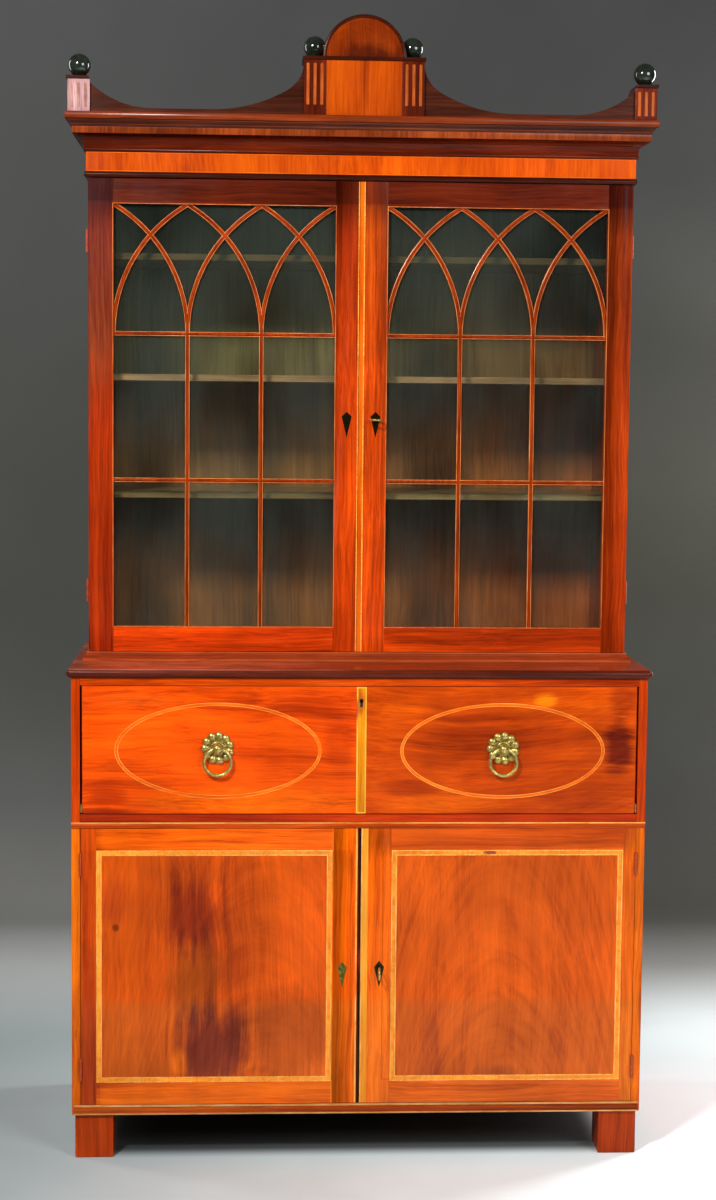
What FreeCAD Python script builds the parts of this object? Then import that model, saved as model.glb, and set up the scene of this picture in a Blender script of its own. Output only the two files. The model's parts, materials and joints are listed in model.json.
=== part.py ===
import FreeCAD, Part
import math
import os
import re
import Sketcher
from FreeCAD import Placement, Rotation, Vector

# Secretaire bookcase: a glazed upper case standing on a lower case, which holds a
# deep drawer with a fall front above a pair of panelled cupboard doors.
# Millimetres. +X to the right, -Y towards the reader, +Z up. The origin lies on the
# floor under the middle of the whole cabinet.

doc = FreeCAD.newDocument("secretaire_bookcase")

# Driving sizes
SIZES = {
    # lower case
    "base_width": 1200,
    "case_depth": 520,
    "side_thick": 18,
    "back_thick": 12,
    "foot_height": 94,
    "foot_width": 80,
    "foot_depth": 80,
    "foot_inset": 6,
    "base_mould_height": 21,
    "base_mould_proud": 3,
    "base_mould_inset": 4,
    "cupboard_height": 590,
    "waist_bead_height": 11.5,
    "waist_bead_proud": 3,
    "rail_depth": 60,
    "divider_thick": 16.5,
    "drawer_opening": 270,
    "top_rail_height": 16,
    "ledge_thick": 19,
    "ledge_overhang": 10,
    "cupboard_shelf_rise": 290,
    "cupboard_shelf_set_back": 60,
    "shelf_thick": 14,
    # cupboard doors
    "cupboard_door_thick": 20,
    "cupboard_stile": 38,
    "cupboard_rail": 50,
    "panel_thick": 10,
    "panel_set_back": 1,
    "door_gap": 1,
    "seam_gap": 2,
    "cupboard_seam": -3,
    # upper case
    "upper_setback": 138,
    "upper_side_step": 27,
    "foot_mould_height": 20,
    "foot_mould_proud": 12,
    "foot_mould_cove": 8,
    "glazed_door_thick": 22,
    "door_back_gap": 0.6,
    "glazed_door_height": 992,
    "hinge_stile": 52,
    "lock_stile": 50,
    "glazed_top_rail": 52,
    "glazed_bottom_rail": 53,
    "glazed_seam": -4,
    "bar_width": 9,
    "bar_depth": 10,
    "bar_set_back": 3,
    "glass_thick": 2.5,
    "spring_rise": 618,
    "low_bar_rise": 310.5,
    "low_shelf_rise": 325,
    "mid_shelf_rise": 574,
    "high_shelf_rise": 828,
    "book_shelf_set_back": 24,
    # frieze and cornice
    "head_bead_height": 12,
    "head_bead_proud": 7,
    "frieze_height": 41,
    "frieze_front_proud": 2,
    "frieze_side_proud": 4,
    "cornice_bead_height": 7,
    "cornice_bead_proud": 5,
    "cove_height": 28,
    "cove_radius": 22,
    "band_height": 14,
    "band_proud": 27,
    "reed_height": 13.5,
    "reed_proud": 34,
    "crown_height": 14.5,
    "crown_proud": 41,
    # pediment
    "plinth_width": 46,
    "plinth_depth": 88,
    "plinth_set_back": 4,
    "outer_plinth_height": 66,
    "outer_plinth_inset": 6,
    "tablet_width": 158,
    "tablet_height": 113,
    "tablet_thick": 24,
    "tablet_set_back": 2,
    "cap_height": 7,
    "cap_proud": 3,
    "lunette_radius": 86,
    "ball_radius": 23.6,
    "ball_seat_angle": 78,
    "outer_ball_stand": 24,
    "inner_ball_stand": 42,
    "sweep_thick": 18,
    "sweep_set_back": 8,
    "sweep_low": 9,
    "sweep_crest_drop": 3,
    "inner_sweep_run": 190,
    "inner_sweep_turn": 60,
    "outer_sweep_radius": 188,
    # hinges
    "hinge_length": 48,
    "hinge_end_margin": 104,
    "hinge_leaf_width": 15,
    "hinge_leaf_thick": 1.4,
    "knuckle_radius": 3,
    "knuckle_gap": 0.3,
    "pin_radius": 1.2,
    "pin_clear": 0.05,
    # secretaire drawer
    "drawer_side_thick": 11.5,
    "drawer_side_play": 3.5,
    "drawer_side_drop": 15,
    "drawer_length": 478,
    "drawer_board": 12,
    "runner_gap": 0.3,
    "fall_thick": 22,
    "fall_end_gap": 4.5,
    "hinge_plate_thick": 2.5,
    "hinge_plate_length": 60,
    "hinge_plate_height": 18,
    "fall_pin_radius": 2.5,
    "fall_pin_length": 9,
    "stay_radius": 100,
    "stay_width": 6,
    "stay_thick": 3,
    "stay_side_gap": 2,
    "stay_angle": 78,
    "stay_foot_length": 46,
    "stay_foot_width": 11,
    "stay_foot_thick": 2,
    # ring pulls
    "pull_spacing": 595,
    "pull_rise": 139,
    "rosette_radius": 36,
    "rosette_rim": 3,
    "rosette_crown": 3.5,
    "post_ball_radius": 10,
    "post_radius": 5,
    "eye_reach": 13,
    "eye_radius": 5,
    "ring_radius": 28,
    "ring_wire_radius": 3.2,
    # fittings inside the drawer
    "nest_set_back": 130,
    "nest_board": 8,
    "nest_partition": 6,
    "nest_side_gap": 0.5,
    "centre_bay_width": 364,
    "small_drawer_height": 72,
    "small_drawer_board": 7,
    "small_drawer_gap": 0.4,
    "small_knob_radius": 7,
    "small_knob_reach": 13,
    # locks and keys
    "lock_width": 50,
    "lock_height": 56,
    "lock_depth": 12,
    "lock_wall": 2.5,
    "bolt_length": 34,
    "bolt_height": 10,
    "bolt_thick": 5,
    "bolt_offset": 13,
    "bolt_clear": 0.3,
    "bolt_throw": 8,
    "upper_backset": 35,
    "upper_key_rise": 494,
    "lower_backset": 44,
    "lower_key_rise": 282,
    "key_shank_radius": 2.2,
    "key_clear": 0.08,
    "key_stem": 6,
    "key_bow_radius": 12,
    "key_bow_wire": 2.2,
    "key_bit_reach": 8,
    "key_bit_length": 5,
    "key_bit_thick": 2,
    "fall_lock_width": 64,
    "fall_lock_height": 46,
    "fall_keyhole_drop": 34,
    "fall_keyhole_radius": 2.4,
    "fall_bolt_width": 26,
    "fall_bolt_length": 20,
    "overrun": 1,
}

# Places and sizes that follow from the driving sizes
PLACES = {
    "half_base": "base_width / 2",
    "inner_base": "half_base - side_thick",
    "key_reach": "key_stem + 2 * (key_bow_radius + key_bow_wire)",
    "front": "(key_reach - case_depth) / 2",
    "back": "front + case_depth",
    "back_inner": "back - back_thick",
    "floor_top": "foot_height + base_mould_height",
    "waist_low": "floor_top + cupboard_height",
    "waist_top": "waist_low + waist_bead_height",
    "drawer_floor": "waist_top + divider_thick",
    "rail_low": "drawer_floor + drawer_opening",
    "ledge_low": "rail_low + top_rail_height",
    "ledge_high": "ledge_low + ledge_thick",
    "half_upper": "half_base - upper_side_step",
    "inner_upper": "half_upper - side_thick",
    "door_front": "front + upper_setback",
    "door_back": "door_front + glazed_door_thick",
    "case_front": "door_back + door_back_gap",
    "book_floor": "ledge_high + foot_mould_height",
    "glazed_low": "book_floor + door_gap",
    "glazed_high": "glazed_low + glazed_door_height",
    "head_low": "glazed_high + door_gap",
    "frieze_low": "head_low + head_bead_height",
    "frieze_high": "frieze_low + frieze_height",
    "cove_low": "frieze_high + cornice_bead_height",
    "band_low": "cove_low + cove_height",
    "reed_low": "band_low + band_height",
    "crown_low": "reed_low + reed_height",
    "crown_high": "crown_low + crown_height",
    "frieze_half": "half_upper + frieze_side_proud",
    "frieze_front": "door_front - frieze_front_proud",
    "plinth_front": "frieze_front - crown_proud + plinth_set_back",
    "outer_plinth_x": "frieze_half + crown_proud - outer_plinth_inset - plinth_width / 2",
    "inner_plinth_x": "(tablet_width + plinth_width) / 2",
    "outer_plinth_high": "crown_high + outer_plinth_height",
    "tablet_high": "crown_high + tablet_height",
    "glass_low": "glazed_low + glazed_bottom_rail",
    "glass_high": "glazed_high - glazed_top_rail",
    "spring_level": "glass_low + spring_rise",
    "low_bar_level": "glass_low + low_bar_rise",
    "bar_front": "door_front + bar_set_back",
    "glass_front": "bar_front + bar_depth",
    "left_edge": "glazed_seam - seam_gap / 2",
    "right_edge": "glazed_seam + seam_gap / 2",
    "left_glass_in": "left_edge - lock_stile",
    "left_glass_out": "hinge_stile - half_upper",
    "right_glass_out": "half_upper - hinge_stile",
    "right_glass_in": "right_glass_out - (left_glass_in - left_glass_out)",
    "column_pitch": "(left_glass_in - left_glass_out) / 3",
    "arch_rise": "glass_high - spring_level",
    "arch_radius": "(column_pitch ^ 2 + arch_rise ^ 2) / (2 * column_pitch)",
    "cup_low": "floor_top + door_gap",
    "cup_high": "waist_low - door_gap",
    "cup_side": "inner_base - door_gap",
    "cup_left_edge": "cupboard_seam - seam_gap / 2",
    "cup_right_edge": "cupboard_seam + seam_gap / 2",
    "cup_back": "front + cupboard_door_thick",
    "knuckle_out": "knuckle_radius + knuckle_gap",
    "upper_axis_x": "half_upper + knuckle_out",
    "upper_axis_y": "door_back + door_back_gap / 2",
    "lower_axis_x": "inner_base - door_gap / 2",
    "lower_axis_y": "front - knuckle_out",
    "knuckle_third": "hinge_length / 3",
    "upper_hinge_low": "glazed_low + hinge_end_margin",
    "upper_hinge_high": "glazed_high - hinge_end_margin - hinge_length",
    "lower_hinge_low": "cup_low + hinge_end_margin / 2",
    "lower_hinge_high": "cup_high - hinge_end_margin / 2 - hinge_length",
    "fall_half": "inner_base - fall_end_gap",
    "fall_low": "drawer_floor + door_gap",
    "fall_high": "rail_low - door_gap / 2",
    "fall_axis_y": "front + fall_thick / 2",
    "fall_axis_z": "fall_low + fall_thick / 2",
    "fall_inner": "front + fall_thick",
    "drawer_start": "fall_inner + door_gap / 2",
    "drawer_end": "drawer_start + drawer_length",
    "drawer_outer": "inner_base - drawer_side_play",
    "drawer_inner": "drawer_outer - drawer_side_thick",
    "drawer_low": "drawer_floor + runner_gap",
    "drawer_high": "rail_low - drawer_side_drop",
    "desk_level": "fall_axis_z + fall_thick / 2",
    "stay_outer": "drawer_inner - stay_side_gap",
    "stay_inner": "stay_outer - stay_thick",
    "pull_x": "pull_spacing / 2",
    "pull_z": "fall_low + pull_rise",
    "eye_y": "front - eye_reach",
    "nest_front": "fall_inner + nest_set_back",
    "nest_back": "drawer_end - drawer_board",
    "nest_half": "drawer_inner - nest_side_gap",
    "nest_high": "drawer_high",
    "nest_low_in": "desk_level + nest_board",
    "nest_high_in": "nest_high - nest_board",
    "nest_end_in": "nest_half - nest_board",
    "bay_edge": "centre_bay_width / 2",
    "side_bay_in": "bay_edge + nest_board",
    "drawer_tier_high": "nest_low_in + small_drawer_height",
    "hole_low": "drawer_tier_high + nest_board",
    "upper_key_x": "right_edge + upper_backset",
    "upper_key_z": "glazed_low + upper_key_rise",
    "upper_lock_y": "door_back - lock_depth",
    "lower_key_x": "cup_right_edge + lower_backset",
    "lower_key_z": "cup_low + lower_key_rise",
    "lower_lock_y": "cup_back - lock_depth",
    "fall_lock_y": "fall_inner - lock_depth",
}

sizes = doc.addObject("Spreadsheet::Sheet", "Sizes")
places = doc.addObject("Spreadsheet::Sheet", "Places")
working = doc.addObject("Spreadsheet::Sheet", "Working")
WORD = re.compile(r"[a-z][a-z_0-9]*")

for row, (name, number) in enumerate(SIZES.items(), start=1):
    sizes.set(f"A{row}", name)
    sizes.set(f"B{row}", str(number))
    sizes.setAlias(f"B{row}", name)


def bind(formula, inside_places=False):
    """The formula with each named size written as the sheet that holds it."""
    def sheet_name(match):
        name = match.group()
        if name in SIZES:
            return f"Sizes.{name}"
        if name in PLACES and not inside_places:
            return f"Places.{name}"
        return name
    return WORD.sub(sheet_name, str(formula))


for row, (name, formula) in enumerate(PLACES.items(), start=1):
    places.set(f"A{row}", name)
    places.set(f"B{row}", "=" + bind(formula, inside_places=True))
    places.setAlias(f"B{row}", name)
doc.recompute()


def value(formula):
    """The number that a formula of named sizes gives."""
    working.set("A1", "=" + bind(formula))
    working.recompute()
    return float(working.get("A1"))


def minus(formula):
    return f"-({formula})"


# Makers of one solid each. A span is a pair: low and high, in named sizes.
def board(label, x, y, z):
    box = doc.addObject("Part::Box", label)
    for prop, (low, high) in zip(("Length", "Width", "Height"), (x, y, z)):
        box.setExpression(prop, bind(f"({high}) - ({low})"))
    for axis, (low, high) in zip("xyz", (x, y, z)):
        box.setExpression(f"Placement.Base.{axis}", bind(low))
    return box


TURNS = {
    "x": Rotation(Vector(0, 1, 0), 90),
    "y": Rotation(Vector(1, 0, 0), -90),
    "z": Rotation(),
}


def place_at(piece, x, y, z, turn):
    piece.Placement = Placement(Vector(), turn)
    for axis, formula in zip("xyz", (x, y, z)):
        piece.setExpression(f"Placement.Base.{axis}", bind(formula))
    return piece


def rod(label, along, start, length, radius):
    """A round bar from start, running along +X, +Y or +Z."""
    piece = doc.addObject("Part::Cylinder", label)
    piece.setExpression("Radius", bind(radius))
    piece.setExpression("Height", bind(length))
    return place_at(piece, *start, TURNS[along])


def ball(label, centre, radius, low_angle=-90):
    piece = doc.addObject("Part::Sphere", label)
    piece.setExpression("Radius", bind(radius))
    piece.setExpression("Angle1", bind(low_angle))
    return place_at(piece, *centre, Rotation())


def ring(label, along, centre, radius, wire):
    piece = doc.addObject("Part::Torus", label)
    piece.setExpression("Radius1", bind(radius))
    piece.setExpression("Radius2", bind(wire))
    return place_at(piece, *centre, TURNS[along])


def sector(label, centre, depth, radius, angle, turn):
    """A round slab, angle degrees of a full disc, turned into place."""
    piece = doc.addObject("Part::Cylinder", label)
    piece.setExpression("Radius", bind(radius))
    piece.setExpression("Height", bind(depth))
    piece.setExpression("Angle", bind(angle))
    return place_at(piece, *centre, turn)


def group(label, pieces):
    made = doc.addObject("Part::Compound", label)
    made.Links = pieces
    return made


def fuse(label, pieces):
    made = doc.addObject("Part::MultiFuse", label)
    made.Shapes = pieces
    return made


def cut(label, base, tools):
    made = doc.addObject("Part::Cut", label)
    made.Base = base
    made.Tool = tools[0] if len(tools) == 1 else group(f"{label}_tools", tools)
    return made


def mirrored(label, source):
    """The same piece on the other side of the cabinet's middle plane."""
    made = doc.addObject("Part::Mirroring", label)
    made.Source = source
    made.Normal = Vector(1, 0, 0)
    return made


PARTS = []


def part(made, node):
    """Gives a finished sub-part its own name, which names its file."""
    made.Label = node
    PARTS.append(made)
    return made


def both(low, high):
    """A span on the left-hand side that mirrors low to high on the right."""
    return (minus(high), minus(low))


def span(half):
    return (minus(half), half)


# Lower case
side_y = ("front", "back")
side_z = ("foot_height", "ledge_low")
inner_x = span("inner_base")


def hinge_beds(label, at_x, at_y, levels):
    """Shallow beds for hinge leaves, one for each level."""
    return [board(f"{label}_{index}", at_x, at_y, (low, f"{low} + hinge_length"))
            for index, low in enumerate(levels)]


lower_levels = ("lower_hinge_low", "lower_hinge_high")
upper_levels = ("upper_hinge_low", "upper_hinge_high")
lower_leaf_y = ("front", "front + hinge_leaf_width")
lower_case_leaf_x = ("inner_base", "inner_base + hinge_leaf_thick")
lower_side = cut("LowerSideRight", board("LowerSideBoard", ("inner_base", "half_base"), side_y, side_z),
                 hinge_beds("LowerSideBed", lower_case_leaf_x, lower_leaf_y, lower_levels))
part(lower_side, "lower_side_right")
part(mirrored("LowerSideLeft", lower_side), "lower_side_left")
part(board("LowerBottom", inner_x, ("front", "back_inner"), ("foot_height", "floor_top")),
     "lower_bottom_board")
part(board("LowerBack", inner_x, ("back_inner", "back"), side_z), "lower_back_panel")
cup_shelf_z = "floor_top + cupboard_shelf_rise"
part(board("CupboardShelf", inner_x, ("front + cupboard_shelf_set_back", "back_inner"),
           (cup_shelf_z, f"{cup_shelf_z} + shelf_thick")), "cupboard_shelf")
rail_y = ("front", "front + rail_depth")
divider = group("Divider", [
    board("DividerRail", inner_x, rail_y, ("waist_low", "drawer_floor")),
    board("DustBoard", inner_x, ("front + rail_depth", "back_inner"), ("waist_top", "drawer_floor"))])
part(divider, "drawer_divider")
bolt_bed = board("FallBoltBed", span("fall_bolt_width / 2 + bolt_clear"),
                 ("fall_inner - lock_depth", "fall_inner"),
                 ("rail_low - overrun", "rail_low + bolt_throw + overrun"))
part(cut("TopRail", board("TopRailBoard", inner_x, rail_y, ("rail_low", "ledge_low")), [bolt_bed]),
     "drawer_top_rail")
part(board("BaseMoulding", span("half_base - base_mould_inset"),
           ("front - base_mould_proud", "front"), ("foot_height", "floor_top")), "base_moulding")
part(board("WaistBead", span("half_base"), ("front - waist_bead_proud", "front"),
           ("waist_low", "waist_top")), "waist_bead")
foot_x = ("half_base - foot_inset - foot_width", "half_base - foot_inset")
foot_spans_y = (("front + foot_inset", "front + foot_inset + foot_depth"),
                ("back - foot_inset - foot_depth", "back - foot_inset"))
right_feet = [board(f"Foot{index}", foot_x, foot_y, ("0", "foot_height"))
              for index, foot_y in enumerate(foot_spans_y)]
left_feet = [mirrored(f"LeftFoot{index}", foot) for index, foot in enumerate(right_feet)]
part(group("Feet", right_feet + left_feet), "block_feet")


def nosed_slab(label, half, nose, rear, z_low, z_high):
    """A slab with a half-round nose on its front edge and both ends."""
    radius = f"(({z_high}) - ({z_low})) / 2"
    middle = f"(({z_high}) + ({z_low})) / 2"
    core_half = f"({half}) - {radius}"
    core_front = f"({nose}) + {radius}"
    length = f"({rear}) - ({core_front})"
    core = board(f"{label}Core", span(core_half), (core_front, rear), (z_low, z_high))
    pieces = [core, rod(f"{label}Nose", "x", (minus(core_half), core_front, middle),
                        f"2 * ({core_half})", radius)]
    for index, at_x in enumerate((core_half, minus(core_half))):
        pieces.append(rod(f"{label}End{index}", "y", (at_x, core_front, middle), length, radius))
        pieces.append(ball(f"{label}Corner{index}", (at_x, core_front, middle), radius))
    return fuse(label, pieces)


def collar(label, slab, z_low, z_high):
    """A slab cut away where the upper case stands, so that it wraps the case."""
    well = board(f"{label}Well", span("half_upper"), ("case_front", "back + overrun"),
                 (f"{z_low} - overrun", f"{z_high} + overrun"))
    return cut(label, slab, [well])


part(nosed_slab("Ledge", "half_base + ledge_overhang", "front - ledge_overhang", "back",
                "ledge_low", "ledge_high"), "ledge_top")

# Upper case
upper_side_z = ("ledge_high", "frieze_high")
case_y = ("case_front", "back")
upper_case_leaf_y = ("case_front", "case_front + hinge_leaf_thick")
upper_leaf_x = ("half_upper - hinge_leaf_width", "half_upper")
upper_side = cut("UpperSideRight", board("UpperSideBoard", ("inner_upper", "half_upper"), case_y,
                                         upper_side_z),
                 hinge_beds("UpperSideBed", upper_leaf_x, upper_case_leaf_y, upper_levels))
part(upper_side, "upper_side_right")
part(mirrored("UpperSideLeft", upper_side), "upper_side_left")
inner_upper_x = span("inner_upper")
board_y = ("case_front", "back_inner")
part(group("UpperBoards", [
    board("UpperBottom", inner_upper_x, board_y, ("ledge_high", "book_floor")),
    board("UpperTop", inner_upper_x, board_y, ("head_low", "head_low + side_thick"))]),
     "upper_case_boards")
part(board("UpperBack", inner_upper_x, ("back_inner", "back"), upper_side_z), "upper_back_panel")
shelf_y = ("case_front + book_shelf_set_back", "back_inner")
shelves = [board(f"Shelf{index}", inner_upper_x, shelf_y,
                 (f"book_floor + {rise}", f"book_floor + {rise} + shelf_thick"))
           for index, rise in enumerate(("low_shelf_rise", "mid_shelf_rise", "high_shelf_rise"))]
part(group("Shelves", shelves), "bookcase_shelves")


def coved_slab(label, half, nose, z_low, z_high, radius, cove_level):
    """A slab whose front edge and ends are hollowed by a quarter-round cove."""
    slab = board(f"{label}Slab", span(half), (nose, "back"), (z_low, z_high))
    length = f"back + overrun - ({nose}) + ({radius})"
    start_y = f"{nose} - ({radius})"
    hollows = [rod(f"{label}Hollow", "x", (f"-({half}) - overrun", nose, cove_level),
                   f"2 * ({half}) + 2 * overrun", radius)]
    for index, at_x in enumerate((half, minus(half))):
        hollows.append(rod(f"{label}Hollow{index}", "y", (at_x, start_y, cove_level), length, radius))
    return cut(f"{label}Coved", slab, hollows)


foot_slab = coved_slab("FootMould", "half_upper + foot_mould_proud", "door_front - foot_mould_proud",
                       "ledge_high", "book_floor", "foot_mould_cove", "book_floor")
part(collar("FootMould", foot_slab, "ledge_high", "book_floor"), "upper_foot_moulding")
head_slab = nosed_slab("HeadBeadSlab", "half_upper + head_bead_proud + frieze_side_proud / 2",
                       "door_front - head_bead_proud", "back", "head_low", "frieze_low")
part(collar("HeadBead", head_slab, "head_low", "frieze_low"), "head_bead")
frieze_z = ("frieze_low", "frieze_high")
frieze_end = board("FriezeEnd", ("half_upper", "frieze_half"), case_y, frieze_z)
part(group("Frieze", [board("FriezeFront", span("frieze_half"), ("frieze_front", "case_front"), frieze_z),
                      frieze_end, mirrored("FriezeEndLeft", frieze_end)]), "frieze")


def cornice_slab(label, proud, z_low, z_high):
    return board(label, span(f"frieze_half + {proud}"), (f"frieze_front - {proud}", "back"),
                 (z_low, z_high))


cove_slab = coved_slab("Cove", "frieze_half + band_proud", "frieze_front - band_proud",
                       "cove_low", "band_low", "cove_radius", "cove_low")
cornice_layers = [
    nosed_slab("CorniceBead", "frieze_half + cornice_bead_proud",
               "frieze_front - cornice_bead_proud", "back", "frieze_high", "cove_low"),
    cove_slab,
    cornice_slab("CorniceBand", "band_proud", "band_low", "reed_low"),
    cornice_slab("CorniceReed", "reed_proud", "reed_low", "crown_low"),
]
hollow_layers = []
for index, layer in enumerate(cornice_layers):
    well = board(f"CorniceWell{index}", span("inner_upper"), ("case_front", "back_inner"),
                 ("frieze_high - overrun", "crown_low + overrun"))
    hollow_layers.append(cut(f"CorniceRing{index}", layer, [well]))
crown = cornice_slab("Crown", "crown_proud", "crown_low", "crown_high")
part(group("Cornice", hollow_layers + [crown]), "cornice")

# Pediment
plinth_y = ("plinth_front", "plinth_front + plinth_depth")


def plinth(label, at_x, high):
    return board(label, (f"{at_x} - plinth_width / 2", f"{at_x} + plinth_width / 2"), plinth_y,
                 ("crown_high", high))


right_plinths = [plinth("OuterPlinth", "outer_plinth_x", "outer_plinth_high"),
                 plinth("InnerPlinth", "inner_plinth_x", "tablet_high")]
left_plinths = [mirrored(f"LeftPlinth{index}", block) for index, block in enumerate(right_plinths)]
part(group("Plinths", right_plinths + left_plinths), "plinths")
cap_y = ("plinth_front - cap_proud", "plinth_front + plinth_depth + cap_proud")
cap_reach = "plinth_width / 2 + cap_proud"
outer_cap = board("OuterCap", (f"outer_plinth_x - {cap_reach}", f"outer_plinth_x + {cap_reach}"), cap_y,
                  ("outer_plinth_high", "outer_plinth_high + cap_height"))
centre_cap = board("CentreCap", span(f"inner_plinth_x + {cap_reach}"), cap_y,
                   ("tablet_high", "tablet_high + cap_height"))
part(group("Caps", [outer_cap, mirrored("OuterCapLeft", outer_cap), centre_cap]), "pediment_caps")
tablet_front = "plinth_front + tablet_set_back"
part(board("Tablet", span("tablet_width / 2"), (tablet_front, f"{tablet_front} + tablet_thick"),
           ("crown_high", "tablet_high")), "tablet")
half_disc_turn = Rotation(Vector(1, 0, 0), 90)
part(sector("Lunette", ("0", f"{tablet_front} + tablet_thick", "tablet_high + cap_height"),
            "tablet_thick", "lunette_radius", "180", half_disc_turn), "lunette")
seat_drop = "ball_radius * sin(ball_seat_angle)"
balls = []
for label, at_x, stand, cap_top in (
        ("OuterBall", "outer_plinth_x", "outer_ball_stand", "outer_plinth_high + cap_height"),
        ("InnerBall", "inner_plinth_x", "inner_ball_stand", "tablet_high + cap_height")):
    centre = (at_x, f"plinth_front + {stand}", f"{cap_top} + {seat_drop}")
    balls.append(ball(label, centre, "ball_radius", "-ball_seat_angle"))
    balls.append(mirrored(f"{label}Left", balls[-1]))
part(group("Balls", balls), "ball_finials")


def bind_corner(sketch, geometry, end, x, y, tag):
    """Ties one corner of an outline to its two named coordinates."""
    for kind, formula in (("DistanceX", x), ("DistanceY", y)):
        index = sketch.addConstraint(Sketcher.Constraint(kind, -1, 1, geometry, end, value(formula)))
        name = f"{tag}{kind[-1]}"
        sketch.renameConstraint(index, name)
        sketch.setExpression(f"Constraints.{name}", bind(formula))


def outlined(label, plane, outline, offset, thickness):
    """A flat piece padded from an outline. Each corner is (x, y) in named sizes, or
    (x, y, radius, centre_x, centre_y) where an arc of that radius leads up to it."""
    body = doc.addObject("PartDesign::Body", label)
    sketch = body.newObject("Sketcher::SketchObject", f"{label}Sketch")
    origin_plane = [item for item in body.Origin.OriginFeatures if item.Role == plane][0]
    sketch.AttachmentSupport = [(origin_plane, "")]
    sketch.MapMode = "FlatFace"
    sketch.setExpression("AttachmentOffset.Base.z", bind(offset))
    corners = [Vector(value(corner[0]), value(corner[1]), 0) for corner in outline]
    starts = []
    for index, start in enumerate(corners):
        finish_index = (index + 1) % len(corners)
        finish = corners[finish_index]
        target = outline[finish_index]
        if len(target) == 2:
            sketch.addGeometry(Part.LineSegment(start, finish))
            starts.append((1, 2))
            continue
        centre = Vector(value(target[3]), value(target[4]), 0)
        first = math.atan2(start.y - centre.y, start.x - centre.x)
        last = math.atan2(finish.y - centre.y, finish.x - centre.x)
        turn = (last - first + math.pi) % (2 * math.pi) - math.pi
        low, high = (first, first + turn) if turn > 0 else (last, last - turn)
        circle = Part.Circle(centre, Vector(0, 0, 1), value(target[2]))
        sketch.addGeometry(Part.ArcOfCircle(circle, low, high))
        starts.append((1, 2) if turn > 0 else (2, 1))
    for index, (begin, end) in enumerate(starts):
        follower = (index + 1) % len(starts)
        sketch.addConstraint(Sketcher.Constraint("Coincident", index, end, follower, starts[follower][0]))
        bind_corner(sketch, index, begin, outline[index][0], outline[index][1], f"corner{index}")
        target = outline[follower]
        if len(target) > 2:
            mark = sketch.addConstraint(Sketcher.Constraint("Radius", index, value(target[2])))
            sketch.renameConstraint(mark, f"radius{index}")
            sketch.setExpression(f"Constraints.radius{index}", bind(target[2]))
    pad = body.newObject("PartDesign::Pad", f"{label}Pad")
    pad.Profile = sketch
    pad.setExpression("Length", bind(thickness))
    body.Tip = pad
    return body


# The swept boards fall from the tall inner plinth in two arcs, run level for a short
# way and climb again to the outer plinth in one arc.
sweep_start = "inner_plinth_x + plinth_width / 2"
sweep_end = "outer_plinth_x - plinth_width / 2"
sweep_level = "crown_high + sweep_low"
sweep_crest = "tablet_high - sweep_crest_drop"
sweep_fall = f"(({sweep_crest}) - ({sweep_level}))"
turn_sine = "sin(inner_sweep_turn)"
turn_cosine = "cos(inner_sweep_turn)"
long_radius = (f"((1 - {turn_cosine}) * {sweep_fall} - {turn_sine} * inner_sweep_run)"
               f" / ((1 - {turn_cosine}) * (1 - {turn_sine}) - {turn_sine} * {turn_cosine})")
short_radius = f"(inner_sweep_run - {turn_cosine} * ({long_radius})) / (1 - {turn_cosine})"
join_x = f"{sweep_start} + ({short_radius}) * (1 - {turn_cosine})"
join_z = f"{sweep_crest} - ({short_radius}) * {turn_sine}"
flat_start = f"{sweep_start} + inner_sweep_run"
outer_rise = "outer_plinth_height - cap_height - sweep_low"
outer_run = f"sqrt(outer_sweep_radius ^ 2 - (outer_sweep_radius - ({outer_rise})) ^ 2)"
flat_end = f"{sweep_end} - {outer_run}"
sweep_outline = [
    (sweep_start, "crown_high"),
    (sweep_end, "crown_high"),
    (sweep_end, f"{sweep_level} + {outer_rise}"),
    (flat_end, sweep_level, "outer_sweep_radius", flat_end, f"{sweep_level} + outer_sweep_radius"),
    (flat_start, sweep_level),
    (join_x, join_z, long_radius, flat_start, f"{sweep_level} + {long_radius}"),
    (sweep_start, sweep_crest, short_radius, f"{sweep_start} + {short_radius}", sweep_crest),
]
right_sweep = outlined("SweepRight", "XZ_Plane", sweep_outline,
                       "-(plinth_front + sweep_set_back + sweep_thick)", "sweep_thick")
part(group("Sweeps", [right_sweep, mirrored("SweepLeft", right_sweep)]), "sweep_boards")

# Hinges: each has a leaf and two outer knuckles on the case, and a leaf and a middle
# knuckle on the door. The pin is fixed in the outer knuckles.


def case_hinge(label, leaf_x, leaf_y, axis_x, axis_y, low):
    """The fixed half of a hinge, with its pin."""
    high = f"{low} + hinge_length"
    leaf = board(f"{label}Leaf", leaf_x, leaf_y, (low, high))
    gap = "knuckle_third + knuckle_gap / 2"
    pieces = [leaf, rod(f"{label}Pin", "z", (axis_x, axis_y, low), "hinge_length", "pin_radius"),
              rod(f"{label}Low", "z", (axis_x, axis_y, low), "knuckle_third - knuckle_gap / 2",
                  "knuckle_radius"),
              rod(f"{label}High", "z", (axis_x, axis_y, f"{high} - ({gap}) + knuckle_gap"),
                  "knuckle_third - knuckle_gap / 2", "knuckle_radius")]
    web_low = board(f"{label}WebLow", *hinge_web(leaf_x, leaf_y, axis_x, axis_y),
                    (low, f"{low} + knuckle_third - knuckle_gap / 2"))
    web_high = board(f"{label}WebHigh", *hinge_web(leaf_x, leaf_y, axis_x, axis_y),
                     (f"{low} + 2 * knuckle_third + knuckle_gap / 2", high))
    return fuse(label, pieces + [web_low, web_high])


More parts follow.
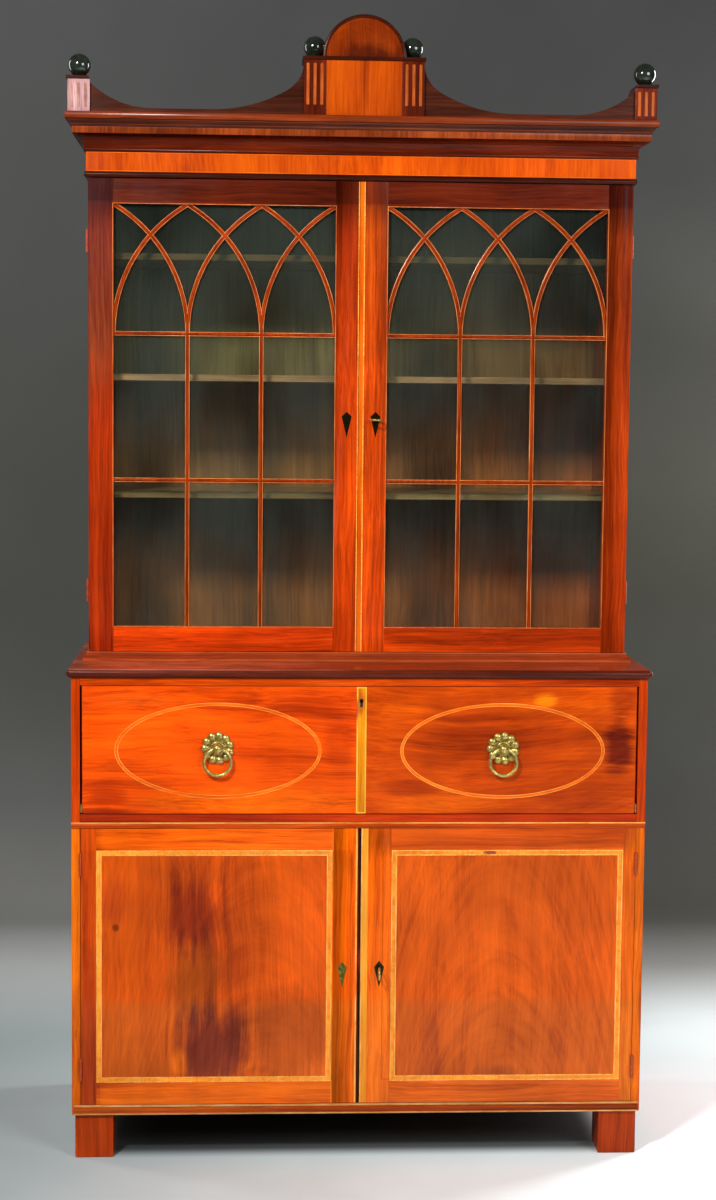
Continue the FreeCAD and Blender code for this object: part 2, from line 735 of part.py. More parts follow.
def hinge_web(leaf_x, leaf_y, axis_x, axis_y):
    """The strip of leaf that runs out to the knuckle."""
    if axis_x == "upper_axis_x":
        return (leaf_x[1], axis_x), leaf_y
    return leaf_x, (axis_y, leaf_y[0])


def door_hinge(label, leaf_x, leaf_y, axis_x, axis_y, low):
    """The moving half of a hinge: a leaf and the middle knuckle, bored for the pin."""
    middle = (f"{low} + knuckle_third + knuckle_gap / 2", f"{low} + 2 * knuckle_third - knuckle_gap / 2")
    leaf = board(f"{label}Leaf", leaf_x, leaf_y, (low, f"{low} + hinge_length"))
    knuckle = rod(f"{label}Knuckle", "z", (axis_x, axis_y, middle[0]),
                  "knuckle_third - knuckle_gap", "knuckle_radius")
    web = board(f"{label}Web", *hinge_web(leaf_x, leaf_y, axis_x, axis_y), middle)
    solid = fuse(f"{label}Solid", [leaf, knuckle, web])
    bore = rod(f"{label}Bore", "z", (axis_x, axis_y, low), "hinge_length", "pin_radius + pin_clear")
    return cut(label, solid, [bore])


lower_door_leaf_x = ("cup_side - hinge_leaf_thick", "cup_side")
upper_door_leaf_y = ("door_back - hinge_leaf_thick", "door_back")
case_leaves = []
upper_door_leaves = []
lower_door_leaves = []
for index, low in enumerate(upper_levels):
    case_leaves.append(case_hinge(f"UpperCaseHinge{index}", upper_leaf_x, upper_case_leaf_y,
                                  "upper_axis_x", "upper_axis_y", low))
    upper_door_leaves.append(door_hinge(f"UpperDoorHinge{index}", upper_leaf_x, upper_door_leaf_y,
                                        "upper_axis_x", "upper_axis_y", low))
for index, low in enumerate(lower_levels):
    case_leaves.append(case_hinge(f"LowerCaseHinge{index}", lower_case_leaf_x, lower_leaf_y,
                                  "lower_axis_x", "lower_axis_y", low))
    lower_door_leaves.append(door_hinge(f"LowerDoorHinge{index}", lower_door_leaf_x, lower_leaf_y,
                                        "lower_axis_x", "lower_axis_y", low))
left_case_leaves = [mirrored(f"LeftCaseHinge{index}", leaf) for index, leaf in enumerate(case_leaves)]
part(group("CaseHinges", case_leaves + left_case_leaves), "case_hinge_leaves")
upper_right_leaves = group("UpperRightLeaves", upper_door_leaves)
part(upper_right_leaves, "upper_right_hinge_leaves")
part(mirrored("UpperLeftLeaves", upper_right_leaves), "upper_left_hinge_leaves")
lower_right_leaves = group("LowerRightLeaves", lower_door_leaves)
part(lower_right_leaves, "lower_right_hinge_leaves")
part(mirrored("LowerLeftLeaves", lower_right_leaves), "lower_left_hinge_leaves")

# Locks: a case let into the back of the right door, a bolt that shoots to the left
# and a key that turns it.


def lock_case(label, edge, key_z, lock_y):
    """The lock's case: a back plate and four walls, open to the wood in front."""
    x = (edge, f"{edge} + lock_width")
    z = (f"{key_z} - lock_height / 2", f"{key_z} + lock_height / 2")
    y = (lock_y, f"{lock_y} + lock_depth")
    solid = board(f"{label}Solid", x, y, z)
    hollow = board(f"{label}Hollow", (f"{x[0]} + lock_wall", f"{x[1]} - lock_wall"),
                   (f"{y[0]} - overrun", f"{y[1]} - lock_wall"),
                   (f"{z[0]} + lock_wall", f"{z[1]} - lock_wall"))
    slot = board(f"{label}Slot", (f"{edge} - overrun", f"{edge} + lock_wall + overrun"),
                 *bolt_way(key_z, lock_y, "bolt_clear"))
    return cut(label, solid, [hollow, slot])


def bolt_way(key_z, lock_y, clear):
    """The spans in Y and Z of a bolt, or of the way that it runs in."""
    low_y = f"{lock_y} + (lock_depth - lock_wall - bolt_thick) / 2"
    low_z = f"{key_z} + bolt_offset"
    return ((f"{low_y} - {clear}", f"{low_y} + bolt_thick + {clear}"),
            (f"{low_z} - {clear}", f"{low_z} + bolt_height + {clear}"))


def lock_bolt(label, edge, key_z, lock_y):
    y, z = bolt_way(key_z, lock_y, "0")
    return board(label, (f"{edge} + bolt_clear", f"{edge} + bolt_clear + bolt_length"), y, z)


def bolt_keeper(label, edge, key_z, lock_y):
    """The mortise in the left door that the bolt shoots into."""
    y, z = bolt_way(key_z, lock_y, "bolt_clear")
    return board(label, (f"{edge} - bolt_throw - overrun", f"{edge} + overrun"), y, z)


def key(label, face, key_x, key_z, lock_y, flat):
    """A key in its keyhole. The flat of its bow and bit is level or upright."""
    bow_y = f"{face} - key_stem - key_bow_radius - key_bow_wire"
    tip_y = f"{lock_y} + lock_depth - lock_wall - bolt_clear"
    bow_end = f"{bow_y} + key_bow_radius"
    shank = rod(f"{label}Shank", "y", (key_x, bow_end, key_z), f"{tip_y} - ({bow_end})",
                "key_shank_radius")
    bit_y = (f"{tip_y} - key_bit_length", tip_y)
    thin = "key_bit_thick / 2"
    if flat == "level":
        bow = ring(f"{label}Bow", "z", (key_x, bow_y, key_z), "key_bow_radius", "key_bow_wire")
        bit = board(f"{label}Bit", (f"{key_x} - key_bit_reach", key_x), bit_y,
                    (f"{key_z} - {thin}", f"{key_z} + {thin}"))
    else:
        bow = ring(f"{label}Bow", "x", (key_x, bow_y, key_z), "key_bow_radius", "key_bow_wire")
        bit = board(f"{label}Bit", (f"{key_x} - {thin}", f"{key_x} + {thin}"), bit_y,
                    (f"{key_z} - key_bit_reach", key_z))
    return fuse(label, [shank, bow, bit])


def lock_cuts(label, edge, face, key_x, key_z, lock_y):
    """The bed for the lock's case and the hole for the key's shank."""
    bed = board(f"{label}Bed", (f"{edge} - overrun", f"{edge} + lock_width"),
                (lock_y, f"{lock_y} + lock_depth + overrun"),
                (f"{key_z} - lock_height / 2", f"{key_z} + lock_height / 2"))
    hole = rod(f"{label}Hole", "y", (key_x, f"{face} - overrun", key_z), "lock_depth + overrun",
               "key_shank_radius + key_clear")
    return [bed, hole]


part(lock_case("UpperLock", "right_edge", "upper_key_z", "upper_lock_y"), "upper_lock")
part(lock_bolt("UpperBolt", "right_edge", "upper_key_z", "upper_lock_y"), "upper_bolt")
part(key("UpperKey", "door_front", "upper_key_x", "upper_key_z", "upper_lock_y", "level"), "upper_key")
part(lock_case("LowerLock", "cup_right_edge", "lower_key_z", "lower_lock_y"), "lower_lock")
part(lock_bolt("LowerBolt", "cup_right_edge", "lower_key_z", "lower_lock_y"), "lower_bolt")
part(key("LowerKey", "front", "lower_key_x", "lower_key_z", "lower_lock_y", "upright"), "lower_key")

# Glazed doors


def glazed_door(side, outer, glass_out, glass_in, edge, lock_tools, side_name):
    """Stiles, rails, tracery and panes of one glazed door. Places run left to right."""
    door_y = ("door_front", "door_back")
    door_z = ("glazed_low", "glazed_high")
    low_x, high_x = (outer, edge) if side == "Left" else (edge, outer)
    glass_x = (glass_out, glass_in) if side == "Left" else (glass_in, glass_out)
    hinge_x = (low_x, glass_x[0]) if side == "Left" else (glass_x[1], high_x)
    lock_x = (glass_x[1], high_x) if side == "Left" else (low_x, glass_x[0])
    bed_x = both(*upper_leaf_x) if side == "Left" else upper_leaf_x
    hinge_stile = cut(f"{side}HingeStile", board(f"{side}HingeStileBoard", hinge_x, door_y, door_z),
                      hinge_beds(f"{side}StileBed", bed_x, upper_door_leaf_y, upper_levels))
    lock_stile = cut(f"{side}LockStile", board(f"{side}LockStileBoard", lock_x, door_y, door_z), lock_tools)
    rails = [board(f"{side}TopRail", glass_x, door_y, ("glass_high", "glazed_high")),
             board(f"{side}BottomRail", glass_x, door_y, ("glazed_low", "glass_low"))]
    part(group(f"{side}DoorFrame", [hinge_stile, lock_stile] + rails), f"upper_{side_name}_door_frame")

    columns = [f"({glass_x[0]}) + {index} * column_pitch" for index in range(4)]
    half_bar = "bar_width / 2"
    bar_y = ("bar_front", "glass_front")
    pieces = []
    for index in (1, 2):
        pieces.append(board(f"{side}Upright{index}",
                            (f"{columns[index]} - {half_bar}", f"{columns[index]} + {half_bar}"),
                            bar_y, ("glass_low", "spring_level")))
    for index, level in enumerate(("low_bar_level", "spring_level")):
        pieces.append(board(f"{side}Crossbar{index}", glass_x, bar_y,
                            (f"{level} - {half_bar}", f"{level} + {half_bar}")))
    for index in range(3):
        pieces.append(arch(f"{side}Arch{index}Right", columns[index], "right"))
        pieces.append(arch(f"{side}Arch{index}Left", columns[index + 1], "left"))
    lattice = fuse(f"{side}Lattice", pieces)
    trim = board(f"{side}LatticeTrim", glass_x, bar_y, ("glass_low", "glass_high"))
    tracery = doc.addObject("Part::MultiCommon", f"{side}Tracery")
    tracery.Shapes = [lattice, trim]
    part(tracery, f"upper_{side_name}_tracery")

    levels = ("glass_low", "low_bar_level", "spring_level", "glass_high")
    panes = [board(f"{side}Pane{column}{row}", (columns[column], columns[column + 1]),
                   ("glass_front", "glass_front + glass_thick"), (levels[row], levels[row + 1]))
             for column in range(3) for row in range(3)]
    part(group(f"{side}Glass", panes), f"upper_{side_name}_glass")


def arch(label, foot_x, bends):
    """A quarter ring that rises upright from a column line and bends to one side."""
    centre_x = f"{foot_x} + arch_radius" if bends == "right" else f"{foot_x} - arch_radius"
    turn = Rotation(Vector(1, 0, 0), 90)
    if bends == "right":
        turn = Rotation(Vector(0, 1, 0), -90).multiply(turn)
    centre = (centre_x, "glass_front", "spring_level")
    outer = sector(f"{label}Outer", centre, "bar_depth", "arch_radius + bar_width / 2", "90", turn)
    inner = sector(f"{label}Inner", centre, "bar_depth", "arch_radius - bar_width / 2", "90", turn)
    return cut(label, outer, [inner])


glazed_door("Left", "-half_upper", "left_glass_out", "left_glass_in", "left_edge",
            [bolt_keeper("UpperKeeper", "left_edge", "upper_key_z", "upper_lock_y")], "left")
glazed_door("Right", "half_upper", "right_glass_out", "right_glass_in", "right_edge",
            lock_cuts("UpperLockCut", "right_edge", "door_front", "upper_key_x", "upper_key_z",
                      "upper_lock_y"), "right")

# Cupboard doors


def cupboard_door(side, outer, edge, lock_tools, side_name):
    """Stiles, rails and flush panel of one cupboard door."""
    door_y = ("front", "cup_back")
    door_z = ("cup_low", "cup_high")
    left = side == "LowLeft"
    low_x, high_x = (outer, edge) if left else (edge, outer)
    panel_x = (f"{low_x} + cupboard_stile", f"{high_x} - cupboard_stile")
    if left:
        panel_x = (panel_x[0], f"{high_x} - lock_width - overrun")
    else:
        panel_x = (f"{low_x} + lock_width + overrun", panel_x[1])
    hinge_x = (low_x, panel_x[0]) if left else (panel_x[1], high_x)
    lock_x = (panel_x[1], high_x) if left else (low_x, panel_x[0])
    bed_x = both(*lower_door_leaf_x) if left else lower_door_leaf_x
    hinge_stile = cut(f"{side}HingeStile", board(f"{side}HingeStileBoard", hinge_x, door_y, door_z),
                      hinge_beds(f"{side}StileBed", bed_x, lower_leaf_y, lower_levels))
    lock_stile = cut(f"{side}LockStile", board(f"{side}LockStileBoard", lock_x, door_y, door_z), lock_tools)
    panel_z = ("cup_low + cupboard_rail", "cup_high - cupboard_rail")
    rails = [board(f"{side}TopRail", panel_x, door_y, (panel_z[1], "cup_high")),
             board(f"{side}BottomRail", panel_x, door_y, ("cup_low", panel_z[0]))]
    part(group(f"{side}DoorFrame", [hinge_stile, lock_stile] + rails), f"lower_{side_name}_door_frame")
    panel_y = ("front + panel_set_back", "front + panel_set_back + panel_thick")
    part(board(f"{side}Panel", panel_x, panel_y, panel_z), f"lower_{side_name}_door_panel")


cupboard_door("LowLeft", "-cup_side", "cup_left_edge",
              [bolt_keeper("LowerKeeper", "cup_left_edge", "lower_key_z", "lower_lock_y")], "left")
cupboard_door("LowRight", "cup_side", "cup_right_edge",
              lock_cuts("LowerLockCut", "cup_right_edge", "front", "lower_key_x", "lower_key_z",
                        "lower_lock_y"), "right")

# Secretaire drawer
drawer_y = ("drawer_start", "drawer_end")
drawer_side = board("DrawerSide", ("drawer_inner", "drawer_outer"), drawer_y, ("drawer_low", "drawer_high"))
drawer_rear = board("DrawerRear", span("drawer_inner"), ("drawer_end - drawer_board", "drawer_end"),
                    ("desk_level - drawer_board", "drawer_high"))
part(group("DrawerSides", [drawer_side, mirrored("DrawerSideLeft", drawer_side), drawer_rear]),
     "drawer_sides_and_back")
part(board("DrawerBottom", span("drawer_inner"), ("drawer_start", "drawer_end - drawer_board"),
           ("desk_level - drawer_board", "desk_level")), "drawer_bottom")

# The fall front turns on two pins at the middle of its half-round lower edge.
fall_board = board("FallBoard", span("fall_half"), ("front", "fall_inner"), ("fall_axis_z", "fall_high"))
fall_edge = rod("FallEdge", "x", ("-fall_half", "fall_axis_y", "fall_axis_z"), "2 * fall_half",
                "fall_thick / 2")
fall_solid = fuse("FallSolid", [fall_board, fall_edge])
pin_bore = rod("FallPinBore", "x", ("fall_half - fall_pin_length - overrun", "fall_axis_y", "fall_axis_z"),
               "fall_pin_length + 2 * overrun", "fall_pin_radius + pin_clear")
fall_lock_x = span("fall_lock_width / 2")
fall_lock_z = ("fall_high - fall_lock_height", "fall_high")
fall_lock_bed = board("FallLockBed", fall_lock_x, ("fall_lock_y", "fall_inner + overrun"),
                      (fall_lock_z[0], "fall_high + overrun"))
fall_keyhole = rod("FallKeyhole", "y", ("0", "front - overrun", "fall_high - fall_keyhole_drop"),
                   "fall_thick - lock_depth + 2 * overrun", "fall_keyhole_radius")
part(cut("FallFront", fall_solid, [pin_bore, mirrored("FallPinBoreLeft", pin_bore), fall_lock_bed,
                                   fall_keyhole]), "fall_front")
fall_bolt_x = span("fall_bolt_width / 2")
fall_bolt_y_low = "fall_lock_y + (lock_depth - lock_wall - bolt_thick) / 2"
fall_lock_solid = board("FallLockSolid", fall_lock_x, ("fall_lock_y", "fall_inner"), fall_lock_z)
fall_lock_hollow = board("FallLockHollow", span("fall_lock_width / 2 - lock_wall"),
                         ("fall_lock_y - overrun", "fall_inner - lock_wall"),
                         (f"{fall_lock_z[0]} + lock_wall", "fall_high - lock_wall"))
fall_lock_slot = board("FallLockSlot", span("fall_bolt_width / 2 + bolt_clear"),
                       (f"{fall_bolt_y_low} - bolt_clear", f"{fall_bolt_y_low} + bolt_thick + bolt_clear"),
                       ("fall_high - lock_wall - overrun", "fall_high + overrun"))
part(cut("FallLock", fall_lock_solid, [fall_lock_hollow, fall_lock_slot]), "fall_lock")
part(board("FallBolt", fall_bolt_x, (fall_bolt_y_low, f"{fall_bolt_y_low} + bolt_thick"),
           ("fall_high - bolt_clear - fall_bolt_length", "fall_high - bolt_clear")), "fall_bolt")

plate_x = ("drawer_outer", "drawer_outer + hinge_plate_thick")
plate_start = "fall_axis_y - hinge_plate_height / 2"
plate = board("HingePlate", plate_x, (plate_start, f"{plate_start} + hinge_plate_length"),
              ("fall_axis_z - hinge_plate_height / 2", "fall_axis_z + hinge_plate_height / 2"))
plate_pin = rod("HingePlatePin", "x", ("fall_half - fall_pin_length", "fall_axis_y", "fall_axis_z"),
                "drawer_outer - fall_half + fall_pin_length", "fall_pin_radius")
hinge_plate = fuse("HingePlateWithPin", [plate, plate_pin])
part(group("HingePlates", [hinge_plate, mirrored("HingePlateLeft", hinge_plate)]), "fall_hinge_plates")

# The curved brass stays are quarter rings about the fall's pins.
stay_turn = Rotation(Vector(0, 0, 1), Vector(0, 1, 0), Vector(-1, 0, 0), "ZXY")
stay_centre = ("stay_outer", "fall_axis_y", "fall_axis_z")
stay_disc = sector("StayDisc", stay_centre, "stay_thick", "stay_radius", "stay_angle", stay_turn)
stay_core = sector("StayCore", stay_centre, "stay_thick", "stay_radius - stay_width", "stay_angle",
                   stay_turn)
stay_trim = board("StayTrim", ("stay_inner - overrun", "stay_outer + overrun"),
                  ("front - overrun", "fall_inner"),
                  ("fall_axis_z", "fall_axis_z + stay_radius + overrun"))
stay_arc = cut("StayArc", stay_disc, [stay_core, stay_trim])
foot_top = "fall_axis_z + stay_radius"
stay_foot = board("StayFoot", ("stay_outer - stay_foot_width", "stay_outer"),
                  ("fall_inner", "fall_inner + stay_foot_thick"),
                  (f"{foot_top} - stay_foot_length", foot_top))
stay = fuse("Stay", [stay_arc, stay_foot])
part(group("Stays", [stay, mirrored("StayLeft", stay)]), "quadrant_stays")

# Ring pulls
rosettes = []
for index, at_x in enumerate(("pull_x", "-pull_x")):
    rim = rod(f"RosetteRim{index}", "y", (at_x, "front - rosette_rim", "pull_z"), "rosette_rim",
              "rosette_radius")
    crown_cap = doc.addObject("Part::Cone", f"RosetteCrown{index}")
    crown_cap.setExpression("Radius1", bind("rosette_radius"))
    crown_cap.setExpression("Radius2", bind("post_ball_radius"))
    crown_cap.setExpression("Height", bind("rosette_crown"))
    place_at(crown_cap, at_x, "front - rosette_rim", "pull_z", Rotation(Vector(1, 0, 0), 90))
    neck = rod(f"RosetteNeck{index}", "y", (at_x, "eye_y", "pull_z"), "eye_reach", "post_radius")
    knob = ball(f"RosetteKnob{index}", (at_x, "eye_y", "pull_z"), "post_ball_radius")
    eye = rod(f"RosetteEye{index}", "x", (f"{at_x} - post_ball_radius - overrun", "eye_y", "pull_z"),
              "2 * (post_ball_radius + overrun)", "eye_radius")
    solid = fuse(f"RosetteSolid{index}", [rim, crown_cap, neck, knob])
    rosettes.append(cut(f"Rosette{index}", solid, [eye]))
part(group("Rosettes", rosettes), "pull_rosettes")
for name, at_x in (("right", "pull_x"), ("left", "-pull_x")):
    part(ring(f"Ring{name}", "y", (at_x, "eye_y", "pull_z - ring_radius"), "ring_radius",
              "ring_wire_radius"), f"pull_ring_{name}")

# Pigeonholes and small drawers on the drawer's floor
nest_y = ("nest_front", "nest_back")
hole_z = ("hole_low", "nest_high_in")
nest_boards = [
    board("NestFloor", span("nest_half"), nest_y, ("desk_level", "nest_low_in")),
    board("NestRoof", span("nest_half"), nest_y, ("nest_high_in", "nest_high")),
    board("NestCentreShelf", span("bay_edge"), nest_y, ("drawer_tier_high", "hole_low")),
]
inner_z = ("nest_low_in", "nest_high_in")
side_boards = [board("NestEnd", ("nest_end_in", "nest_half"), nest_y, inner_z),
               board("NestUpright", ("bay_edge", "side_bay_in"), nest_y, inner_z),
               board("NestShelf", ("side_bay_in", "nest_end_in"), nest_y, ("drawer_tier_high", "hole_low"))]
for index in (1, 2, 3):
    at_x = f"side_bay_in + {index} * (nest_end_in - side_bay_in) / 4"
    side_boards.append(board(f"NestPartition{index}", (f"{at_x} - nest_partition / 2",
                                                       f"{at_x} + nest_partition / 2"), nest_y, hole_z))
centre_partition = board("NestCentrePartition", ("bay_edge / 3 - nest_partition / 2",
                                                 "bay_edge / 3 + nest_partition / 2"), nest_y, hole_z)
side_boards.append(centre_partition)
nest_boards += side_boards
nest_boards += [mirrored(f"LeftNest{index}", item) for index, item in enumerate(side_boards)]
part(group("Nest", nest_boards), "pigeonholes")

# A small drawer stays a little smaller than its place on every side.
box_x = ("side_bay_in + small_drawer_gap", "nest_end_in - small_drawer_gap")
box_y = ("nest_front", "nest_back - small_drawer_gap")
box_z = ("nest_low_in + small_drawer_gap", "drawer_tier_high - small_drawer_gap")
wall = "small_drawer_board"
box_in_y = (f"{box_y[0]} + {wall}", f"{box_y[1]} - {wall}")
knob_x = "(side_bay_in + nest_end_in) / 2"
knob_z = "nest_low_in + small_drawer_height / 2"
knob_tip = "nest_front - small_knob_reach"
drawer_pieces = [
    board("SmallFront", box_x, (box_y[0], box_in_y[0]), box_z),
    board("SmallRear", box_x, (box_in_y[1], box_y[1]), box_z),
    board("SmallSideA", (box_x[0], f"{box_x[0]} + {wall}"), box_in_y, box_z),
    board("SmallSideB", (f"{box_x[1]} - {wall}", box_x[1]), box_in_y, box_z),
    board("SmallFloor", (f"{box_x[0]} + {wall}", f"{box_x[1]} - {wall}"), box_in_y,
          (box_z[0], f"{box_z[0]} + {wall}")),
    fuse("SmallKnob", [
        rod("SmallKnobNeck", "y", (knob_x, f"{knob_tip} + small_knob_radius / 2", knob_z),
            "small_knob_reach - small_knob_radius / 2", "small_knob_radius / 2"),
        rod("SmallKnobHead", "y", (knob_x, knob_tip, knob_z), "small_knob_radius",
            "small_knob_radius")]),
]
right_small = group("SmallDrawerRight", drawer_pieces)
part(right_small, "small_drawer_right")
part(mirrored("SmallDrawerLeft", right_small), "small_drawer_left")

doc.recompute()

faults = [item.Name for item in doc.Objects if "Invalid" in item.State or "Error" in item.State]
for made in PARTS:
    if made.Shape.isNull() or not made.Shape.isValid():
        faults.append(f"{made.Label} shape")
if faults:
    raise RuntimeError("failed objects: " + ", ".join(faults))

os.makedirs("parts", exist_ok=True)
for made in PARTS:
    made.Shape.exportStep(f"parts/{made.Label}.step")
    print(made.Label, len(made.Shape.Solids), "solids", round(made.Shape.Volume))
print(len(PARTS), "parts")
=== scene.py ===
import json
import math

import bmesh
import bpy
from mathutils import Matrix, Vector

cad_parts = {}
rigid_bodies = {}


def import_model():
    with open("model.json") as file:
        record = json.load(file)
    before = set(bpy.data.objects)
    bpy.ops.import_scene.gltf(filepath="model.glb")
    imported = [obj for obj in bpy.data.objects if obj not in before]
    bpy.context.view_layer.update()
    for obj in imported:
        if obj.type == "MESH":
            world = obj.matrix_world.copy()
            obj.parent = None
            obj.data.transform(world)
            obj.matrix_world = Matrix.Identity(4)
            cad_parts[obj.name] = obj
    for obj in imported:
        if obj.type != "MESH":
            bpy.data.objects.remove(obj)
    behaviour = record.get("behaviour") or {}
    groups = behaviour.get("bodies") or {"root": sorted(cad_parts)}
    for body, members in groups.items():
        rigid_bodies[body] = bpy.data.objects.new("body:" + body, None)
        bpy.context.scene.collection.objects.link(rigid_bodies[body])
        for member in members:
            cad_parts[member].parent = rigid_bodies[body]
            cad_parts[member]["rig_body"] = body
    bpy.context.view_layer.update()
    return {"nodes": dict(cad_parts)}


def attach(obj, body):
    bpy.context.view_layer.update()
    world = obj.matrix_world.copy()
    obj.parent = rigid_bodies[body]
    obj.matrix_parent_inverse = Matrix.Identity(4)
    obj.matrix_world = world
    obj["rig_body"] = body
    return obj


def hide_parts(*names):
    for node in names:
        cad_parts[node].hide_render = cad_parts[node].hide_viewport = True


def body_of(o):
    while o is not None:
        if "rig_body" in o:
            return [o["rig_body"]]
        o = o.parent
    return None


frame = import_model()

# The lower case. Two sides, a bottom, a rail over the drawer and a divider under it are boards of mahogany,
# glued and housed into each other, with a thin back let in behind. Their edges are sanded slightly round,
# and the outside is French polished over a red stain.


def pick(*chosen):
    """Leaves only these pieces selected, the first of them active."""
    bpy.ops.object.select_all(action="DESELECT")
    for piece in chosen:
        piece.select_set(True)
    bpy.context.view_layer.objects.active = chosen[0]


def shape():
    """Starts work on the mesh of the piece in hand, with all of it selected."""
    bpy.ops.object.mode_set(mode="EDIT")
    bpy.ops.mesh.select_all(action="SELECT")


def shaped():
    """Ends work on the mesh."""
    bpy.ops.object.mode_set(mode="OBJECT")


def modify(kind, **settings):
    """Gives the piece in hand a modifier and applies it."""
    bpy.ops.object.modifier_add(type=kind)
    change = bpy.context.object.modifiers[-1]
    for setting, value in settings.items():
        setattr(change, setting, value)
    bpy.ops.object.modifier_apply(modifier=change.name)


def smooth_under(angle):
    """Shades the piece in hand smooth, with its edges kept sharp from that angle up."""
    bpy.ops.object.shade_smooth_by_angle(angle=math.radians(angle))


def new_finish(name):
    """A new material, with its steps and its main shader."""
    made = bpy.data.materials.new(name)
    made.use_nodes = True
    return made, made.node_tree, made.node_tree.nodes["Principled BSDF"]


def step(tree, kind, inputs=None, **settings):
    """Adds one step of a finish. An input takes a plain value, or the output that feeds it."""
    made = tree.nodes.new("ShaderNode" + kind)
    for setting, value in settings.items():
        setattr(made, setting, value)
    for name, value in (inputs or {}).items():
        if isinstance(value, bpy.types.NodeSocket):
            tree.links.new(value, made.inputs[name])
        else:
            made.inputs[name].default_value = value
    return made


def spot(tree):
    """Where a point lies on the piece."""
    return step(tree, "TexCoord").outputs["Object"]


def ramp(tree, amount, stops):
    """Turns an amount into a colour. Each stop is (place, colour)."""
    made = step(tree, "ValToRGB", {"Fac": amount})
    band = made.color_ramp
    while len(band.elements) < len(stops):
        band.elements.new(0.5)
    for element, (place, colour) in zip(band.elements, stops):
        element.position = place
        element.color = (*colour, 1)
    return made.outputs["Color"]


def grain(tree, place, scale, detail=3.0, rough=0.5, twist=0.0):
    """Uneven streaks or, where the three scales are alike, clouds."""
    spread = step(tree, "Mapping", {"Vector": place, "Scale": scale}).outputs["Vector"]
    noise = {"Vector": spread, "Scale": 1.0, "Detail": detail, "Roughness": rough, "Distortion": twist}
    return step(tree, "TexNoise", noise).outputs["Fac"]


def blend(tree, amount, under, over, way="MIX"):
    """Lays one colour over another by an amount."""
    return step(tree, "Mix", {0: amount, 6: under, 7: over}, data_type="RGBA", blend_type=way).outputs[2]


def sums(tree, way, *values):
    """A sum in plain numbers: ADD, SUBTRACT, MULTIPLY, DIVIDE and so on."""
    return step(tree, "Math", dict(enumerate(values)), operation=way).outputs[0]


def weigh(tree, *parts):
    """Adds values up, each by its own share."""
    total = sums(tree, "MULTIPLY", *parts[0])
    for value, share in parts[1:]:
        total = sums(tree, "ADD", total, sums(tree, "MULTIPLY", value, share))
    return total


def vectors(tree, way, *values):
    """A sum with places or colours."""
    made = step(tree, "VectorMath", dict(enumerate(values)), operation=way)
    return made.outputs["Value" if way == "LENGTH" else "Vector"]


def times(tree, colour, amount):
    """A place or a colour, stronger or weaker."""
    return step(tree, "VectorMath", {0: colour, "Scale": amount}, operation="SCALE").outputs["Vector"]


def spread_range(tree, value, low, high, to_low=0.0, to_high=1.0):
    """Stretches a value from one range to another, with soft ends."""
    numbers = {"Value": value, "From Min": low, "From Max": high, "To Min": to_low, "To Max": to_high}
    return step(tree, "MapRange", numbers, interpolation_type="SMOOTHSTEP").outputs["Result"]


